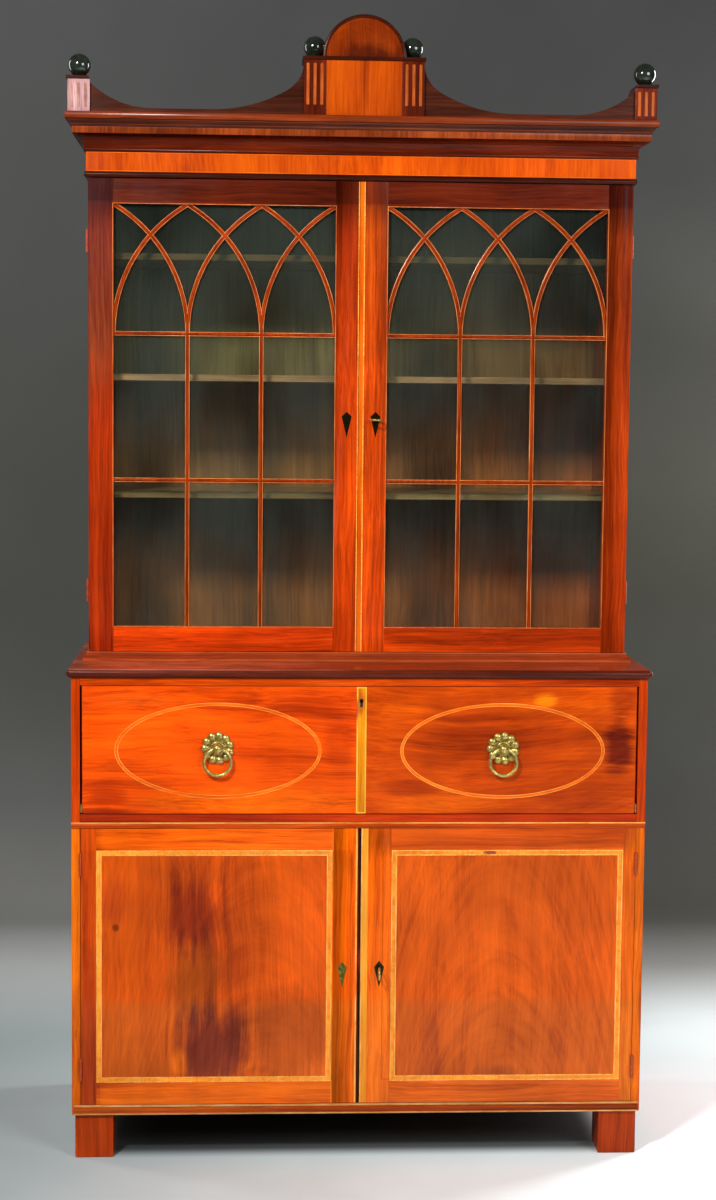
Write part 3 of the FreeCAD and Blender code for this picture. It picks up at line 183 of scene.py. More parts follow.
def polished_wood(name, tones, along="z", across=48.0, run=1.5, wander=0.03, shift=0.0, figure=0.36,
                  blotch=0.22, polish=0.15, rails=None, arch=None, stains_and_painted_light=(), heights=None, widths=None,
                  behind=None):
    """Polished wood. tones go from its dark streaks to its light ones, and along is the way its grain runs.

    rails = (low x, high x): between them the grain lies across, as in a door's rails.
    arch = (middle x, curve, share, rings to the metre): growth rings that bend round that middle.
    stains = (x, z, half width, half height, colour, share): darker or lighter places. Some are the wood's own
    marks, some are painted shade, sheen and highlights.
    heights = ((z, tint), ...): a tint by height, from the floor up. widths = the same by x, from the left.
    Some finishes use these tints for painted light and shade.
    behind = y: stains and tints end there, so they stay on the front of a board.
    """
    made, tree, shader = new_finish(name)
    here = spot(tree)
    at_x, at_y, at_z = step(tree, "SeparateXYZ", {"Vector": here}).outputs
    place = vectors(tree, "ADD", here, (shift, shift * 0.7, shift * 1.3))
    if rails:
        turned = step(tree, "Mapping", {"Vector": place, "Rotation": (0, math.radians(90),
                                                                      0)}).outputs["Vector"]
        past_low = sums(tree, "GREATER_THAN", at_x, rails[0])
        in_rails = sums(tree, "MULTIPLY", past_low, sums(tree, "LESS_THAN", at_x, rails[1]))
        place = step(tree, "Mix", {0: in_rails, 4: place, 5: turned}, data_type="VECTOR").outputs[1]
    drift = step(tree, "TexNoise", {"Vector": place, "Scale": 3.2, "Detail": 2.0}).outputs["Color"]
    drift = times(tree, vectors(tree, "SUBTRACT", drift, (0.5, 0.5, 0.5)), wander)
    place = vectors(tree, "ADD", place, drift)

    def stretched(wide, long):
        return (long, wide, wide) if along == "x" else (wide, wide, long)

    streaks = grain(tree, place, stretched(across, run), 6.0, 0.72, 0.3)
    bands = grain(tree, place, stretched(across * 0.16, run * 0.8), 4.0, 0.55, 0.8)
    fibres = grain(tree, place, stretched(260.0, 5.0), 3.0, 0.7)
    tone = weigh(tree, (bands, figure), (streaks, 0.72 - figure), (fibres, 0.28))
    if arch:
        middle, curve, share, rings = arch
        off = sums(tree, "SUBTRACT", at_x, middle)
        bend = weigh(tree, (at_z, 1.0), (sums(tree, "MULTIPLY", off, off), curve))
        ring = step(tree, "CombineXYZ", {"X": sums(tree, "MULTIPLY", bend, rings),
                                         "Y": sums(tree, "MULTIPLY", off, 9.0), "Z": shift}).outputs["Vector"]
        tone = weigh(tree, (tone, 1 - share), (grain(tree, ring, (1, 1, 1), 4.0, 0.65, 0.5), share))
    places = [0.4 + 0.2 * index / (len(tones) - 1) for index in range(len(tones))]
    colour = ramp(tree, tone, list(zip(places, tones)))
    cloud = grain(tree, place, (4.5, 4.5, 4.5), 3.0, 0.55)
    colour = times(tree, colour, spread_range(tree, cloud, 0.3, 0.7, 1 - blotch, 1 + blotch * 0.5))
    plain = colour
    # Each place darkens or lightens the colour: some are the wood's own marks, some painted shade, sheen and
    # highlights.
    for x, z, half_x, half_z, stain, share in stains_and_painted_light:
        off = vectors(tree, "SUBTRACT", here, (x, 0, z))
        off = vectors(tree, "MULTIPLY", off, (1 / half_x, 0, 1 / half_z))
        ragged = weigh(tree, (grain(tree, place, (12, 12, 12), 4.0), 0.8), (streaks, 1.8))
        far = sums(tree, "ADD", vectors(tree, "LENGTH", off), ragged)
        colour = blend(tree, spread_range(tree, far, 1.75, 2.6, share, 0.0), colour, (*stain, 1), "MULTIPLY")
    strongest = 5.0  # a ramp holds colours up to 1, so it holds each tint's share of this one
    for at, tints in ((at_z, heights), (at_x, widths)):
        if tints:
            low, high = tints[0][0], tints[-1][0]
            stops = []
            for level, tint in tints:
                stops.append(((level - low) / (high - low), [part / strongest for part in tint]))
            tint = ramp(tree, sums(tree, "DIVIDE", sums(tree, "SUBTRACT", at, low), high - low), stops)
            colour = times(tree, vectors(tree, "MULTIPLY", colour, tint), strongest)
    if behind:
        colour = blend(tree, sums(tree, "GREATER_THAN", at_y, behind), colour, plain)
    tree.links.new(colour, shader.inputs["Base Color"])
    shine = spread_range(tree, grain(tree, place, (14, 14, 14), 3.0), 0.35, 0.65, polish, polish + 0.1)
    tree.links.new(shine, shader.inputs["Roughness"])
    bump = step(tree, "Bump", {"Strength": 0.08, "Distance": 0.0003, "Height": fibres})
    tree.links.new(bump.outputs["Normal"], shader.inputs["Normal"])
    for part, value in (("Specular IOR Level", 0.08), ("Coat Weight", 0.08), ("Coat Roughness", 0.25)):
        shader.inputs[part].default_value = value
    return made


def wear(finish, slot_name, *node_names, radius=0.0012):
    """Copies of the frame's boards with their edges sanded round. Each stands for its board."""
    for node_name in node_names:
        board = frame["nodes"][node_name]
        piece = bpy.data.objects.new(node_name + "_piece", board.data.copy())
        bpy.context.scene.collection.objects.link(piece)
        pick(piece)
        if piece.data.has_custom_normals:
            bpy.ops.mesh.customdata_custom_splitnormals_clear()
        shape()
        bpy.ops.mesh.remove_doubles(threshold=0.00001)
        bpy.ops.mesh.dissolve_limited(angle_limit=math.radians(0.6))
        shaped()
        if radius:
            modify("BEVEL", width=radius, segments=2, limit_method="ANGLE", angle_limit=math.radians(50))
        smooth_under(15 if radius else 35)
        piece.data.materials.clear()
        piece.data.materials.append(finish)
        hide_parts(node_name)
        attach(piece, body_of(board)[0])


side_polish = polished_wood(
    "side_polish", [(0.315, 0.02, 0.0008), (0.546, 0.045, 0.0016), (0.777, 0.077, 0.0024)], shift=1.7,
    figure=0.2, behind=-0.241,
    heights=((0.09, (1.2, 2.3, 1)), (0.7, (1.35, 2.7, 1)), (0.72, (0.95, 0.95, 1))))
wear(side_polish, "mahogany", "lower_side_left", "lower_side_right")
rail_polish = polished_wood(
    "rail_polish", [(0.288, 0.017, 0.0008), (0.516, 0.042, 0.0016), (0.744, 0.076, 0.002)], along="x",
    shift=3.1, heights=((0.74, (0.74, 0.52, 1)), (1.0, (1.15, 1.3, 1))))
wear(rail_polish, "mahogany", "drawer_top_rail", "drawer_divider")

# The unseen boards of both cases: bottom, backs and shelves. They are plain sawn and planed mahogany,
# left without polish, so they are duller and browner than the fronts.

plain_sawn = [(0.12, 0.04, 0.012), (0.22, 0.07, 0.02), (0.32, 0.105, 0.03)]
lining_wood = polished_wood("lining_wood", plain_sawn, shift=5.3, polish=0.5)
lining_across = polished_wood("lining_across", plain_sawn, along="x", shift=7.7, polish=0.5)
wear(lining_wood, "lining_wood", "lower_back_panel")
# The upper back's colour is painted with light and shade: darker just under each shelf, where its shadow
# falls, lighter lower in each bay, and greener towards the top as a painted reflection of the glass. It is
# also lighter and warmer to the right.
back_polish_painted_shade = polished_wood(
    "back_polish_painted_shade", [(0.13, 0.048, 0.014), (0.24, 0.084, 0.024), (0.34, 0.125, 0.036)], shift=6.6, polish=0.4,
    behind=0.275,
    heights=((1.06, (1.6, 1.3, 1.1)), (1.22, (1.7, 1.35, 1.2)), (1.31, (0.8, 0.7, 0.8)),
             (1.38, (0.7, 0.6, 0.8)), (1.4, (1.3, 1.3, 1.4)), (1.5, (1.4, 1.4, 1.5)), (1.63, (0.9, 1.0, 1.2)),
             (1.65, (0.8, 1.35, 2.0)), (1.88, (0.8, 1.5, 2.0)), (2.05, (0.85, 1.6, 2.2))),
    widths=((-0.56, (0.8, 0.85, 1)), (-0.2, (1, 1, 1)), (0.2, (1.1, 0.9, 0.9)), (0.5, (1.6, 1.05, 0.9))))
wear(back_polish_painted_shade, "lining_wood", "upper_back_panel")
wear(lining_across, "lining_wood", "lower_bottom_board", "cupboard_shelf", "upper_case_boards")
# The shelf edges are painted lighter and bluer where light falls on the middle shelf, and darker on the top
# shelf, as shade.
shelf_polish_painted_light = polished_wood(
    "shelf_polish_painted_light", [(0.17, 0.075, 0.03), (0.27, 0.13, 0.06), (0.36, 0.19, 0.095)], along="x", shift=2.4,
    heights=((1.45, (1, 1, 1)), (1.6, (1.7, 1.6, 2.0)), (1.66, (1.7, 1.6, 2.0)),
             (1.87, (0.5, 0.5, 0.5))))
wear(shelf_polish_painted_light, "lining_wood", "bookcase_shelves")

# The feet and the mouldings of the lower case. The feet are plain blocks glued under the bottom. The base
# moulding and the waist bead are strips of mahogany planed to a low bead between two fillets of light wood.

foot_polish = polished_wood(
    "foot_polish", [(0.203, 0.019, 0.0012), (0.392, 0.038, 0.0024), (0.609, 0.063, 0.0036)], shift=9.1)
wear(foot_polish, "mahogany", "block_feet", radius=0.002)

holly = [(0.72, 0.22, 0.025), (0.92, 0.38, 0.07), (1.0, 0.52, 0.15)]
light_line = polished_wood("light_line", holly, across=300, run=30, shift=0.4, blotch=0.18)
light_line_across = polished_wood(
    "light_line_across", holly, along="x", across=300, run=30, shift=0.9, blotch=0.18,
    heights=((0.12, (0.65, 0.68, 1)), (0.7, (1, 1, 1))))
bead_polish = polished_wood(
    "bead_polish", [(0.3, 0.03, 0.003), (0.55, 0.066, 0.005), (0.76, 0.115, 0.008)], along="x", shift=4.6,
    heights=((0.12, (0.65, 0.75, 1)), (0.7, (1, 1, 1))))


def choose(test):
    """Selects the corners of the piece in edit mode whose place passes the test."""
    bpy.ops.mesh.select_mode(type="VERT")
    bpy.ops.mesh.select_all(action="DESELECT")
    mesh = bmesh.from_edit_mesh(bpy.context.object.data)
    for corner in mesh.verts:
        if test(corner.co):
            corner.select_set(True)
    mesh.select_flush_mode()
    bmesh.update_edit_mesh(bpy.context.object.data)


def set_down():
    """Puts the place, turn and size of the piece in hand into its mesh."""
    bpy.ops.object.transform_apply(location=True, rotation=True, scale=True)


def settle(name, body, finishes=(), smooth=35, stands_for=()):
    """Gives the piece just shaped its name, its finishes and its body."""
    piece = bpy.context.object
    piece.name = piece.data.name = name
    pick(piece)
    set_down()
    smooth_under(smooth)
    for finish in finishes:
        piece.data.materials.append(finish)
    if stands_for:
        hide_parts(*stands_for)
    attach(piece, body)


def section_face(profile, back, way, start, finishes):
    """The end face of a strip, in its own columns. profile = (place across, front, finish number), ...

    way "z" is a strip that runs up, with the profile across x; way "x" runs across, with it across z.
    """
    columns = len(profile) - 1
    bpy.ops.mesh.primitive_grid_add(x_subdivisions=columns, y_subdivisions=1, size=1)
    strip = bpy.context.object
    shape()
    # A corner that is in its place waits 1 m up, so that it isn't chosen a second time.
    for index, (across, front, _) in enumerate(profile):
        home = index / columns - 0.5
        for row, depth in ((-0.5, front), (0.5, back)):
            choose(lambda at: abs(at.x - home) < 0.001 and abs(at.y - row) < 0.001 and at.z == 0)
            bpy.ops.transform.translate(value=(across - home, depth - row, 1))
    bpy.ops.mesh.select_all(action="SELECT")
    bpy.ops.transform.translate(value=(0, 0, -1))
    shaped()
    for finish in finishes:
        strip.data.materials.append(finish)
    for face in strip.data.polygons:
        for low, high in zip(profile, profile[1:]):
            if low[0] < face.center.x < high[0]:
                face.material_index = low[2]
    shape()
    if way == "x":
        bpy.ops.transform.rotate(value=math.radians(90), orient_axis="Y", center_override=(0, 0, 0))
    bpy.ops.transform.translate(value=start)


def close_up():
    """Welds the piece in hand, turns its faces outwards and ends work on it."""
    bpy.ops.mesh.select_all(action="SELECT")
    bpy.ops.mesh.remove_doubles(threshold=0.00001)
    bpy.ops.mesh.normals_make_consistent(inside=False)
    shaped()


def strip_along(profile, back, way, start, length, finishes):
    """A straight strip of that section."""
    section_face(profile, back, way, start, finishes)
    move = (length, 0, 0) if way == "x" else (0, 0, length)
    bpy.ops.mesh.extrude_region_move(TRANSFORM_OT_translate={"value": move})
    close_up()
    return bpy.context.object


for name, half, low, high in (("base_moulding", 0.596, 0.094, 0.115), ("waist_bead", 0.6, 0.705, 0.7165)):
    tall = high - low
    low_fillet = 0 if name == "base_moulding" else 1
    profile = [(0, -0.245, low_fillet), (tall * 0.16, -0.2455, 1), (tall * 0.24, -0.244, 1),
               (tall * 0.36, -0.2454, 1), (tall * 0.5, -0.2458, 1), (tall * 0.64, -0.2454, 1),
               (tall * 0.78, -0.244, 0), (tall * 0.82, -0.2457, 0), (tall, -0.2455, 0)]
    strip_along(profile, -0.2424, "x", (-half, 0, low), half * 2, (light_line_across, bead_polish))
    settle(name + "_strip", "cabinet", stands_for=(name,))

# The cupboard doors. Each is a frame of two stiles and two rails, mortised together, round a panel with a
# figured veneer. A band of orange wood between two light lines covers the join, and a light line or band
# edges the stile where the doors meet. Dark brass kites are let in round the keyholes.

# Both doors' frames are painted greyer and bluer towards their feet, a painted sheen.
left_frame_polish_and_sheen = polished_wood(
    "lower_left_frame_polish", [(0.45, 0.04, 0.0009), (0.825, 0.092, 0.0012), (1.0, 0.151, 0.0018)],
    rails=(-0.549, -0.057), shift=11.0, figure=0.2,
    stains_and_painted_light=((-0.565, 0.25, 0.03, 0.22, (0.66, 0.52, 1.5), 0.8),
            (-0.565, 0.62, 0.03, 0.2, (0.66, 0.62, 0.8), 0.9)),
    heights=((0.163, (0.9, 1.15, 4.0)), (0.325, (0.92, 1.12, 3.0)), (0.345, (1, 1, 1)),
             (0.655, (1.0, 1.0, 1)), (0.66, (1.15, 1.2, 1))),
    widths=((-0.55, (0.88, 0.8, 1)), (-0.548, (1, 1, 1)), (-0.06, (1, 1, 1)),
            (-0.055, (1.2, 1.38, 1))))
right_frame_polish_and_sheen = polished_wood(
    "lower_right_frame_polish", [(0.48, 0.05, 0.0012), (0.768, 0.095, 0.0021), (1.0, 0.146, 0.003)],
    rails=(0.066, 0.556), shift=13.0, figure=0.2,
    heights=((0.163, (0.86, 1.1, 4.0)), (0.325, (0.9, 1.1, 3.0)), (0.345, (1, 1, 1)), (0.64, (1, 1, 1)),
             (0.67, (0.68, 0.66, 1)), (0.704, (0.64, 0.58, 1))),
    widths=((0.06, (1.1, 1.25, 1)), (0.066, (1, 1, 1)), (0.556, (1, 1, 1)),
            (0.56, (0.97, 1.18, 1))))
wear(left_frame_polish_and_sheen, "mahogany", "lower_left_door_frame", "lower_left_door_panel")
wear(right_frame_polish_and_sheen, "mahogany", "lower_right_door_frame", "lower_right_door_panel")

# The panel veneers carry the same painted sheen towards their feet.
left_panel_veneer = polished_wood(
    "left_panel_veneer", [(0.48, 0.048, 0.0016), (0.744, 0.088, 0.002), (0.96, 0.125, 0.0024)], across=38,
    run=1.0, wander=0.05, shift=17.0, arch=(-0.2, 7.0, 0.2, 24.0),
    stains_and_painted_light=((-0.35, 0.515, 0.068, 0.092, (0.38, 0.28, 1.8), 0.95),
            (-0.312, 0.235, 0.082, 0.1, (0.33, 0.32, 1.8), 0.95),
            (-0.345, 0.39, 0.066, 0.1, (0.46, 0.62, 1.6), 0.85),
            (-0.35, 0.61, 0.075, 0.05, (0.62, 0.62, 1.6), 0.7),
            (-0.23, 0.5, 0.06, 0.2, (0.72, 0.8, 1.0), 0.6), (-0.505, 0.545, 0.05, 0.05, (0.8, 0.7, 2.5), 0.7),
            (-0.14, 0.25, 0.1, 0.12, (0.54, 0.54, 1.0), 0.8),
            (-0.375, 0.205, 0.02, 0.035, (1.9, 2.2, 0.6), 0.8),
            (-0.508, 0.494, 0.008, 0.008, (0.3, 0.3, 1.0), 0.9)),
    widths=((-0.549, (0.83, 0.86, 1)), (-0.42, (0.84, 0.86, 1)), (-0.36, (1, 1, 1))),
    heights=((0.163, (0.82, 1.1, 4.0)), (0.325, (0.88, 1.1, 3.0)), (0.345, (1, 1, 1))))
right_panel_veneer = polished_wood(
    "right_panel_veneer", [(0.43, 0.05, 0.002), (0.665, 0.09, 0.0024), (0.825, 0.12, 0.0032)], across=34,
    run=0.9, wander=0.06, shift=23.0, arch=(0.3, 9.0, 0.28, 20.0),
    stains_and_painted_light=((0.3, 0.18, 0.06, 0.02, (0.6, 0.6, 1.2), 0.7), (0.15, 0.2, 0.03, 0.09, (0.7, 0.65, 1.3), 0.6)),
    heights=((0.163, (0.84, 1.05, 4.0)), (0.325, (0.88, 1.05, 3.0)), (0.345, (1, 1, 1)),
             (0.66, (0.92, 0.92, 1))))
band_orange = polished_wood(
    "band_orange", [(0.82, 0.2, 0.012), (0.95, 0.29, 0.024), (1.0, 0.38, 0.045)], across=120, run=60,
    shift=0.2, blotch=0.25, stains_and_painted_light=((0.273, 0.654, 0.014, 0.008, (0.35, 0.2, 1), 1.0),))


facing_front = (math.radians(90), 0, 0)
door_face = -0.2428


def let_in(name, body, wide, high, finishes, rings=(), fill=None, corners=4, face=door_face,
           thick=0.0006, proud=0.00015):
    """Veneer, lines and bands let into a front face, from low to high x and z.

    rings = (width, finish number) from the outside in, and fill is the finish number of the middle, if any.
    """
    if corners == 4:
        bpy.ops.mesh.primitive_plane_add(size=2)
    else:
        bpy.ops.mesh.primitive_circle_add(vertices=corners, radius=1, fill_type="NGON")
    piece = bpy.context.object
    piece.rotation_euler = facing_front
    piece.scale = ((wide[1] - wide[0]) / 2, (high[1] - high[0]) / 2, 1)
    piece.location = (sum(wide) / 2, face - proud, sum(high) / 2)
    set_down()
    for finish in finishes:
        piece.data.materials.append(finish)
    shape()
    bpy.ops.mesh.select_mode(type="FACE")
    for width, number in rings:
        piece.active_material_index = number
        bpy.ops.object.material_slot_assign()
        bpy.ops.mesh.inset(thickness=width)
    if fill is None:
        bpy.ops.mesh.delete(type="FACE")
    else:
        piece.active_material_index = fill
        bpy.ops.object.material_slot_assign()
    shaped()
    modify("SOLIDIFY", thickness=thick, offset=-1)
    settle(name, body, smooth=20)


panel_high, lower_doors_high = (0.163, 0.6575), (0.1165, 0.7035)
for side, wide, veneer in (("left", (-0.549, -0.057), left_panel_veneer),
                           ("right", (0.067, 0.555), right_panel_veneer)):
    let_in(f"{side}_panel_veneer", f"lower_{side}_door", wide, panel_high,
           (light_line, band_orange, veneer), ((0.002, 0), (0.0074, 1), (0.0022, 0)), fill=2, thick=0.0011)
band_yellow = polished_wood(
    "band_yellow", [(0.82, 0.22, 0.01), (0.96, 0.32, 0.02), (1.0, 0.42, 0.045)], across=140, run=8, shift=0.6)
shadow_line = polished_wood(
    "shadow_line", [(0.01, 0.001, 0.0004), (0.022, 0.002, 0.0006), (0.045, 0.005, 0.001)], across=200, run=6,
    shift=0.8, polish=0.5, stains_and_painted_light=((0.0, 0.423, 0.02, 0.026, (8.0, 6.0, 2.0), 1.0),))
for name, side, wide, finish in (("line", "left", (-0.008, -0.0048), light_line),
                                 ("shadow", "right", (-0.0019, 0.0032), shadow_line),
                                 ("line", "right", (0.0032, 0.0058), light_line),
                                 ("band", "right", (0.0058, 0.0178), band_yellow)):
    let_in(f"lower_{side}_edge_{name}", f"lower_{side}_door", wide, lower_doors_high,
           (finish,), fill=0)


def brass(name, dull, middle, bright, shade=(0.035, 0.022, 0.008), gloss=0.26, metal=1.0):
    """Cast or rolled brass, unevenly tarnished and dark in its hollows."""
    made, tree, shader = new_finish(name)
    tarnish = grain(tree, spot(tree), (160, 160, 160), 4.0, 0.6)
    hollow = step(tree, "AmbientOcclusion", {"Distance": 0.0028}, samples=8).outputs["AO"]
    tone = ramp(tree, tarnish, [(0.32, dull), (0.52, middle), (0.72, bright)])
    tone = blend(tree, spread_range(tree, hollow, 0.3, 0.85), (*shade, 1), tone)
    tree.links.new(tone, shader.inputs["Base Color"])
    tree.links.new(spread_range(tree, tarnish, 0.3, 0.7, gloss + 0.12, gloss - 0.04),
                   shader.inputs["Roughness"])
    dents = step(tree, "Bump", {"Strength": 0.15, "Distance": 0.0004, "Height": tarnish})
    tree.links.new(dents.outputs["Normal"], shader.inputs["Normal"])
    shader.inputs["Metallic"].default_value = metal
    return made


old_brass = brass("old_brass", (0.3, 0.21, 0.045), (0.52, 0.39, 0.1), (0.8, 0.66, 0.28), gloss=0.32,
                  metal=0.8)
dark_brass = brass("dark_brass", (0.016, 0.012, 0.004), (0.034, 0.026, 0.01), (0.07, 0.052, 0.018))
olive_brass = brass("olive_brass", (0.09, 0.065, 0.01), (0.17, 0.125, 0.022), (0.26, 0.2, 0.04))
stained_brass = brass("stained_brass", (0.3, 0.03, 0.003), (0.44, 0.05, 0.004), (0.56, 0.08, 0.006),
                      shade=(0.16, 0.014, 0.002), gloss=0.5, metal=0.1)


def kite(name, body, x, top, widest, low, half, face, finish):
    """A kite-shaped escutcheon, let in flush round a keyhole."""
    middle = (top + low) / 2
    bpy.ops.mesh.primitive_circle_add(vertices=4, radius=1, fill_type="NGON")
    piece = bpy.context.object
    piece.rotation_euler, piece.scale = facing_front, (half, (top - low) / 2, 1)
    piece.location = (x, face - 0.0003, middle)
    set_down()
    shape()
    choose(lambda at: abs(at.x - x) > half * 0.5)
    bpy.ops.transform.translate(value=(0, 0, widest - middle))
    shaped()
    modify("SOLIDIFY", thickness=0.0009, offset=-1)
    settle(name, body, (finish,), smooth=20)


kite("lower_left_escutcheon", "lower_left_door", -0.035, 0.42, 0.4076, 0.3645, 0.01, door_face, olive_brass)
kite("lower_right_escutcheon", "lower_right_door", 0.0428, 0.4216, 0.4085, 0.365, 0.0105, door_face,
     dark_brass)

# The hinges, locks, bolts and keys. The hinge leaves and pins are brass, screwed into the case and the doors,
# the locks are steel cases behind the stiles, and each bolt slides in its lock.

wear(stained_brass, "brass", "case_hinge_leaves", "lower_left_hinge_leaves", "lower_right_hinge_leaves",
     "upper_left_hinge_leaves", "upper_right_hinge_leaves", radius=0)
wear(old_brass, "brass", "upper_key", "lower_key", "upper_bolt", "lower_bolt", "fall_bolt", radius=0)


def flecked(name, size, detail, stops, feel, rough=0.5):
    """A finish with fine flecks. feel sets the shader's inputs, where a pair varies with the flecks."""
    made, tree, shader = new_finish(name)
    flecks = grain(tree, spot(tree), (size, size, size), detail, rough)
    tree.links.new(ramp(tree, flecks, stops), shader.inputs["Base Color"])
    for part, value in feel.items():
        if isinstance(value, tuple):
            tree.links.new(spread_range(tree, flecks, 0.3, 0.7, *value), shader.inputs[part])
        else:
            shader.inputs[part].default_value = value
    return made


lock_steel = flecked("lock_steel", 90, 5.0, [(0.35, (0.1, 0.07, 0.05)), (0.6, (0.3, 0.28, 0.26))],
                     {"Metallic": 0.9, "Roughness": 0.42}, rough=0.6)
wear(lock_steel, "lock_steel", "upper_lock", "lower_lock", "fall_lock", radius=0.0004)

# The secretaire drawer. Its fall front is veneered in two lengths of mahogany with the grain lying across, on
# each side of a yellow strip that holds the keyhole. A double oval line is let in round each pull.

fall_edge = polished_wood(
    "fall_edge", [(0.26, 0.022, 0.002), (0.44, 0.046, 0.003), (0.62, 0.08, 0.004)], along="x", shift=1.1)
wear(fall_edge, "mahogany", "fall_front", radius=0.0015)
fall_left_veneer = polished_wood(
    "fall_left_veneer", [(0.488, 0.037, 0.001), (0.848, 0.075, 0.0015), (1.0, 0.115, 0.002)], along="x",
    across=42, run=1.8, wander=0.05, shift=29.0,
    stains_and_painted_light=((-0.1, 0.955, 0.12, 0.035, (0.7, 0.58, 1), 0.7), (-0.535, 0.738, 0.075, 0.01, (0.35, 0.25, 1),
                                                              0.9),
            (-0.525, 0.772, 0.045, 0.026, (0.62, 0.48, 1), 0.8), (-0.2, 0.76, 0.25, 0.03, (1.1, 1.7, 1), 0.7),
            (-0.045, 0.885, 0.035, 0.06, (0.66, 0.52, 1), 0.7),
            (-0.15, 0.86, 0.13, 0.022, (0.8, 0.72, 1), 0.7), (-0.45, 0.972, 0.09, 0.014, (1.0, 1.35, 3), 0.7),
            (-0.28, 0.965, 0.1, 0.014, (0.72, 0.62, 1), 0.7)))
fall_right_veneer = polished_wood(
    "fall_right_veneer", [(0.318, 0.028, 0.001), (0.525, 0.053, 0.0015), (0.716, 0.086, 0.002)], along="x",
    across=42, run=1.8, wander=0.05, shift=31.0, arch=(0.2, -0.6, 0.2, 60.0),
    stains_and_painted_light=((0.542, 0.876, 0.034, 0.066, (0.3, 0.22, 1.8), 1.0),
            (0.385, 0.974, 0.026, 0.017, (1.5, 2.8, 1.5), 0.9),
            (0.4, 0.962, 0.13, 0.022, (1.25, 1.5, 1), 0.8), (0.55, 0.975, 0.03, 0.03, (0.6, 0.5, 1.5), 0.7),
            (0.22, 0.905, 0.12, 0.042, (0.66, 0.55, 1), 0.8), (0.36, 0.875, 0.1, 0.06, (0.78, 0.7, 1), 0.6),
            (0.18, 0.76, 0.12, 0.02, (1.3, 1.7, 1), 0.8), (0.1, 0.79, 0.07, 0.02, (0.66, 0.55, 1), 0.7),
            (0.1, 0.955, 0.06, 0.02, (1.3, 1.6, 1), 0.7), (0.45, 0.765, 0.09, 0.02, (0.72, 0.62, 1), 0.7)))
fall_end, strip_left, strip_right, fall_high = 0.5762, -0.009, 0.0115, (0.73525, 1.00125)
for side, wide, veneer in (("left", (-fall_end, strip_left), fall_left_veneer),
                           ("right", (strip_right, fall_end), fall_right_veneer)):
    let_in(f"fall_{side}_veneer", "fall", wide, fall_high, (veneer,), fill=0)
strip_yellow = polished_wood(
    "strip_yellow", [(0.62, 0.14, 0.003), (0.84, 0.26, 0.006), (0.96, 0.36, 0.012)], across=160, run=3,
    shift=0.7, stains_and_painted_light=((0.0, 0.97, 0.016, 0.026, (0.62, 0.4, 1), 0.8),))
strip_line = polished_wood(
    "strip_line", [(0.86, 0.34, 0.02), (0.98, 0.5, 0.05), (1.0, 0.62, 0.1)], across=160, run=3, shift=0.75,
    stains_and_painted_light=((-0.012, 0.952, 0.008, 0.03, (0.22, 0.08, 1), 0.9),))
let_in("fall_centre_strip", "fall", (strip_left, strip_right), fall_high,
       (strip_line, strip_yellow), ((0.003, 0),), fill=1, proud=0.0003)
oval_wood = polished_wood(
    "oval_wood", [(0.6, 0.07, 0.003), (0.86, 0.12, 0.006), (0.98, 0.18, 0.01)], along="x", across=90, run=6,
    shift=0.3)
oval_line = polished_wood(
    "oval_line", [(0.8, 0.2, 0.015), (0.96, 0.33, 0.045), (1.0, 0.46, 0.09)], along="x", across=200, run=20,
    shift=0.5)
for side, x in (("left", -0.296), ("right", 0.297)):
    let_in(f"fall_{side}_oval", "fall", (x - 0.2145, x + 0.2145), (0.7668, 0.9678),
           (oval_wood, oval_line), ((0.001, 1), (0.0048, 0), (0.001, 1)), corners=128, proud=0.0003)
# The keyhole is a near-black plug, its colour painted shade for the dark inside of the hole.
keyhole_painted_shade = flecked("keyhole_painted_shade", 400, 2.0, [(0.3, (0.004, 0.002, 0.001)), (0.7, (0.02, 0.01, 0.005))],
                     {"Roughness": 0.8})
keyhole_x, keyhole_deep = 0.0006, 0.0016
bpy.ops.mesh.primitive_cylinder_add(vertices=24, radius=0.0044, depth=keyhole_deep, rotation=facing_front,
                                    location=(keyhole_x, door_face + 0.0002, 0.9725))
hole = bpy.context.object
bpy.ops.mesh.primitive_cube_add(size=1, location=(keyhole_x, door_face + 0.0002, 0.9665))
slit = bpy.context.object
slit.scale = (0.0058, keyhole_deep, 0.015)
pick(hole, slit)
bpy.ops.object.join()
settle("fall_keyhole", "fall", (keyhole_painted_shade,))

# The inside of the drawer: its sides, back and bottom, the nest of pigeonholes with its two small drawers,
# and the brass. The nest is satinwood. The fall turns on two brass plates and hangs on two quadrant stays.

nest_wood = polished_wood(
    "nest_wood", [(0.42, 0.2, 0.06), (0.62, 0.34, 0.115), (0.78, 0.47, 0.19)], along="x", across=80, run=2.5,
    shift=6.2, blotch=0.12)
wear(lining_across, "lining_wood", "drawer_sides_and_back", "drawer_bottom")
wear(nest_wood, "satinwood", "pigeonholes", "small_drawer_left", "small_drawer_right", radius=0.0006)
wear(old_brass, "brass", "quadrant_stays", "fall_hinge_plates", radius=0.0003)

# The pulls. Each is a cast brass flower of eleven round petals about a ball, with a ring of thick brass wire
# that hangs in a hole through the ball.

pull_x, ring_axis = 0.2975, -0.2558


